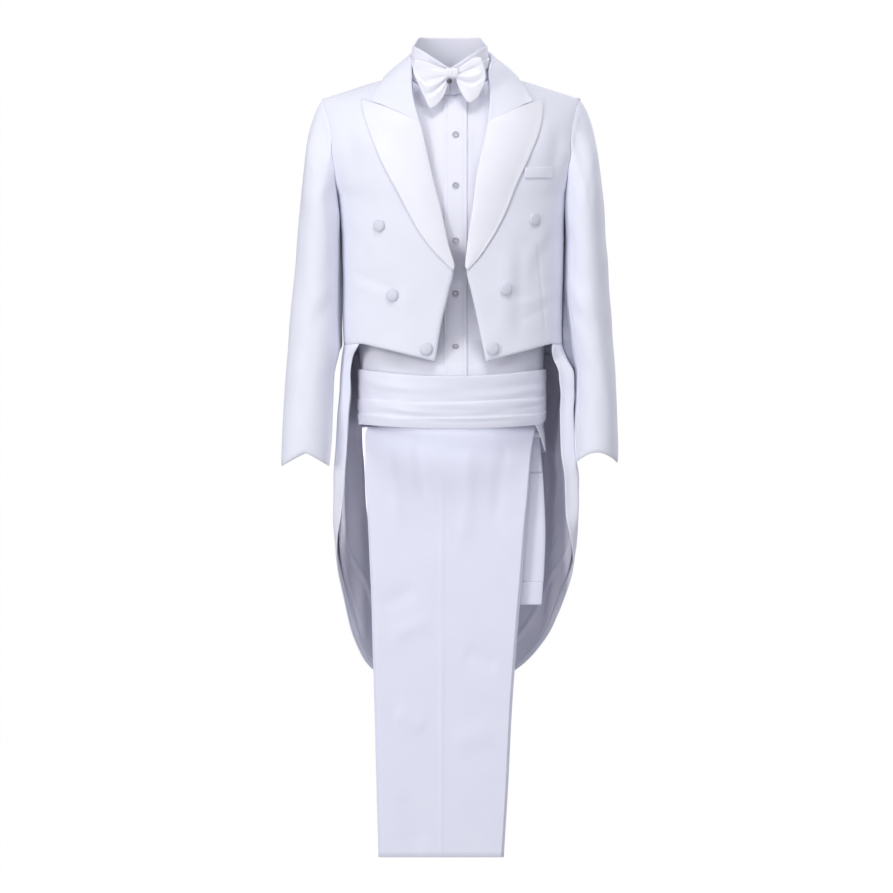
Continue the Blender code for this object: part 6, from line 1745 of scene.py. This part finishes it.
def stitch_tree():
    """A node tree that lays short stitches of thread along a line."""
    tree = bpy.data.node_groups.new("row of stitches", "GeometryNodeTree")
    tree.interface.new_socket("Geometry", in_out="INPUT", socket_type="NodeSocketGeometry")
    for name, value in (("Pitch", 0.0028), ("Stitch", 0.0021), ("Thread", 0.0003)):
        socket = tree.interface.new_socket(name, in_out="INPUT", socket_type="NodeSocketFloat")
        socket.default_value = value
    tree.interface.new_socket("Finish", in_out="INPUT", socket_type="NodeSocketMaterial")
    tree.interface.new_socket("Geometry", in_out="OUTPUT", socket_type="NodeSocketGeometry")
    given = tree.nodes.new("NodeGroupInput")
    line = add_node(tree, "GeometryNodeMeshToCurve", None, Mesh=given.outputs["Geometry"])
    spaced = add_node(tree, "GeometryNodeResampleCurve", {"mode": "LENGTH"}, Curve=line.outputs[0],
                      Length=given.outputs["Pitch"])
    shape = add_node(tree, "GeometryNodeMeshCylinder", {"fill_type": "TRIANGLE_FAN"}, Vertices=5,
                     Radius=given.outputs["Thread"], Depth=given.outputs["Stitch"])
    tangent = tree.nodes.new("GeometryNodeInputTangent")
    turned = add_node(tree, "FunctionNodeAlignRotationToVector", {"axis": "Z"}, Vector=tangent.outputs[0])
    laid = add_node(tree, "GeometryNodeInstanceOnPoints", None, Points=spaced.outputs[0],
                    Instance=shape.outputs[0], Rotation=turned.outputs[0])
    real = add_node(tree, "GeometryNodeRealizeInstances", None, Geometry=laid.outputs[0])
    finished = add_node(tree, "GeometryNodeSetMaterial", None, Geometry=real.outputs[0],
                        Material=given.outputs["Finish"])
    add_node(tree, "NodeGroupOutput", None, Geometry=finished.outputs[0])
    return tree


STITCHES = stitch_tree()


def stitch_row(name, lines, slot):
    """Stitches along lines of points on the cloth."""
    mesh = bpy.data.meshes.new(name + "_line")
    points, edges = [], []
    for line in lines:
        start = len(points)
        points += np.asarray(line).tolist()
        edges += [(start + place, start + place + 1) for place in range(len(line) - 1)]
    mesh.from_pydata(points, edges, [])
    guide = placed(name + "_line", mesh)
    modifier = guide.modifiers.new("stitches", "NODES")
    modifier.node_group = STITCHES
    for item in STITCHES.interface.items_tree:
        if item.in_out == "INPUT" and item.name == "Finish":
            modifier[item.identifier] = THREAD
    evaluated = guide.evaluated_get(bpy.context.evaluated_depsgraph_get())
    made = bpy.data.meshes.new_from_object(evaluated)
    made.name = name
    bpy.data.objects.remove(guide)
    return hard(placed(name, made), slot)


PLACKET_STITCH_ENDS = (-0.570, -0.004)
COLLAR_STITCH_SHARE = 0.90       # of the standing collar's height
WAISTBAND_STITCHES = (WAISTBAND_TOP - 0.003, WAISTBAND_END + 0.004)


def stitching():
    z = lerp(*PLACKET_STITCH_ENDS, steps(160))
    lines = []
    for x in (SHIRT_MIDDLE - PLACKET_STITCH, SHIRT_MIDDLE + PLACKET_STITCH):
        base = shirt.point(+1, np.abs(np.full_like(z, x)), z)
        base[:, 0] = x
        lines.append(base + shirt.normal(+1, base) * (PLACKET_GAP + POPLIN - 0.0001))
    stitch_row("placket_stitches", lines, "poplin")
    angle = np.linspace(3.0, 357.0, 400)[None, :]
    beside = np.array([[-0.02], [0.0], [0.02]]) + COLLAR_STITCH_SHARE
    around = neck_surface(angle, beside)
    stitch_row("collar_stitches", [around[1] + grid_normals(around)[1] * 0.0001], "poplin")
    middle_y = BAR_Y + (INNER_LEG_RADIUS + OUTER_LEG_RADIUS) / 2
    lines = []
    for z_line in WAISTBAND_STITCHES:
        right, left = (float(v) for v in leg_edges(np.array(z_line), True, 0.0))
        for face in (-1, 1):
            x = np.linspace(right + 0.02, left - 0.02, 120)
            half = (left - right) / 2
            along = (x - (right + left) / 2) / half
            y = middle_y + face * WAISTBAND_HALF_THICK * np.sqrt(1 - np.abs(along) ** 8)
            lines.append(stack(x, y, z_line))
    stitch_row("waistband_stitches", lines, "wool")


# ---------------------------------------------------------------- everything
for side in (+1, -1):
    coat_front(side)
    coat_side(side)
    coat_back(side)
    coat_skirt(side)
    tail_lining(side)
    lapel(side)
    sleeves(side)
    shirt_front(side)
    bow_wing(side)
coat_collar()
breast_welt()
shirt_back()
shirt_collar()
shirt_placket()
bow_knot()
bow_band()
cummerbund()
trouser_leg(+1, OUTER_LEG_RADIUS, 0.0)
trouser_leg(-1, INNER_LEG_RADIUS, INNER_LEG_SHIFT)
trouser_seat(+1, OUTER_LEG_RADIUS)
trouser_seat(-1, INNER_LEG_RADIUS)
waistband()
trouser_bar()
buttons()
stitching()

# ---------------------------------------------------------------- floor, light and camera
FLOOR_LEVEL = -1.46


def stage_piece(name, mesh, colour, glow):
    """A piece of the studio: a matt surface, with a glow of its own where it is a lit backdrop."""
    made = placed(name, mesh)
    paint = start_material(name + " paint", 0.9, Base_Color=colour, Emission_Color=colour,
                           Emission_Strength=glow)[0]
    mesh.materials.append(paint)
    return made


def disc_mesh(name, radius, height, sides=96):
    turn = full_turn(sides)
    made = bpy.data.meshes.new(name)
    rim = stack(radius * np.cos(turn), radius * np.sin(turn), height)
    made.from_pydata(rim.tolist(), [], [tuple(range(sides))])
    return made


def dome_mesh(name, radius):
    made = bpy.data.meshes.new(name)
    rings = np.linspace(-math.pi / 2, math.pi / 2, 33)[:, None]
    turn = full_turn(64)
    points = stack(np.cos(rings) * np.cos(turn), np.cos(rings) * np.sin(turn), np.sin(rings)) * radius
    made.from_pydata(points.reshape(-1, 3).tolist(), [], skin(closed(numbered(points))).tolist())
    return made


floor = stage_piece("pale floor", disc_mesh("floor", 1.5, FLOOR_LEVEL), (0.9, 0.9, 0.9, 1.0), 0.75)
floor.visible_diffuse = floor.visible_glossy = False
# a white lit backdrop all round, out of the light that falls on the clothes
backdrop = stage_piece("white backdrop", dome_mesh("backdrop", 30.0), (0.0, 0.0, 0.0, 1.0), 0.0)
glow = backdrop.data.materials[0].node_tree.nodes["Principled BSDF"].inputs
glow["Emission Color"].default_value = (1, 1, 1, 1)
glow["Emission Strength"].default_value = 0.99
backdrop.visible_diffuse = backdrop.visible_glossy = False
backdrop.visible_transmission = backdrop.visible_shadow = False

world = bpy.data.worlds.new("soft studio")
scene.world = world
world.use_nodes = True
world.node_tree.nodes["Background"].inputs[0].default_value = (0.94, 0.95, 1.0, 1.0)
world.node_tree.nodes["Background"].inputs[1].default_value = 0.475


def area_light(name, place, target, size, power, height=None):
    """A round light, or a strip that the camera doesn't see where a height is given."""
    data = bpy.data.lights.new(name, "AREA")
    data.shape, data.size, data.energy = "DISK", size, power
    made = placed(name, data)
    if height:
        data.shape, data.size_y = "RECTANGLE", height
        made.visible_camera = False
    made.location = place
    made.rotation_euler = (Vector(target) - Vector(place)).to_track_quat("-Z", "Y").to_euler()


area_light("key", (-2.9, -3.45, 0.9), (0.0, 0.0, -0.35), size=1.2, power=42.0)
area_light("low key", (-3.2, -3.4, -0.9), (0.0, 0.0, -0.60), size=1.4, power=36.0)
area_light("top front", (0.0, -2.0, 2.5), (0.0, 0.0, -0.2), size=1.4, power=38.0)
area_light("front fill", (-0.9, -5.0, -1.2), (0.0, 0.0, -0.7), size=1.8, power=8.0)
area_light("right fill", (2.8, -4.2, -0.3), (0.0, 0.0, -0.6), size=2.0, power=12.0)
area_light("back key", (2.6, 3.6, 1.3), (0.0, 0.0, -0.40), size=1.6, power=62.0)
# a strip behind the sash for the top of the trousers, which would lie in its shade
area_light("trouser strip", (-0.010, -0.078, -0.560), (-0.010, -0.022, -0.630), size=0.20, power=0.045,
           height=0.03)
# and one beside the trousers for the satin inside the right tail
area_light("lining strip", (-0.156, -0.030, -0.690), (-0.206, 0.005, -0.690), size=0.03, power=0.030,
           height=0.24)

CAMERA_DISTANCE = 12.0
SENSOR_WIDTH = 36.0
PHOTO_SIDE = 893
PHOTO_SCALE = 567                # pixels of the photo for a metre
PHOTO_MIDDLE, PHOTO_SHOULDER = 451, 97   # the column of the middle line, the row of the shoulder points
CHEST_PLANE = -0.05              # the distance at which that scale holds
camera_data = bpy.data.cameras.new("camera")
camera_data.sensor_width = SENSOR_WIDTH
camera_data.lens = SENSOR_WIDTH * CAMERA_DISTANCE / (PHOTO_SIDE / PHOTO_SCALE)
camera = placed("camera", camera_data)
camera.location = ((PHOTO_SIDE / 2 - PHOTO_MIDDLE) / PHOTO_SCALE, CHEST_PLANE - CAMERA_DISTANCE,
                   (PHOTO_SHOULDER - PHOTO_SIDE / 2) / PHOTO_SCALE)
camera.rotation_euler = (math.radians(90), 0, 0)
scene.camera = camera
scene.view_settings.view_transform = "Standard"
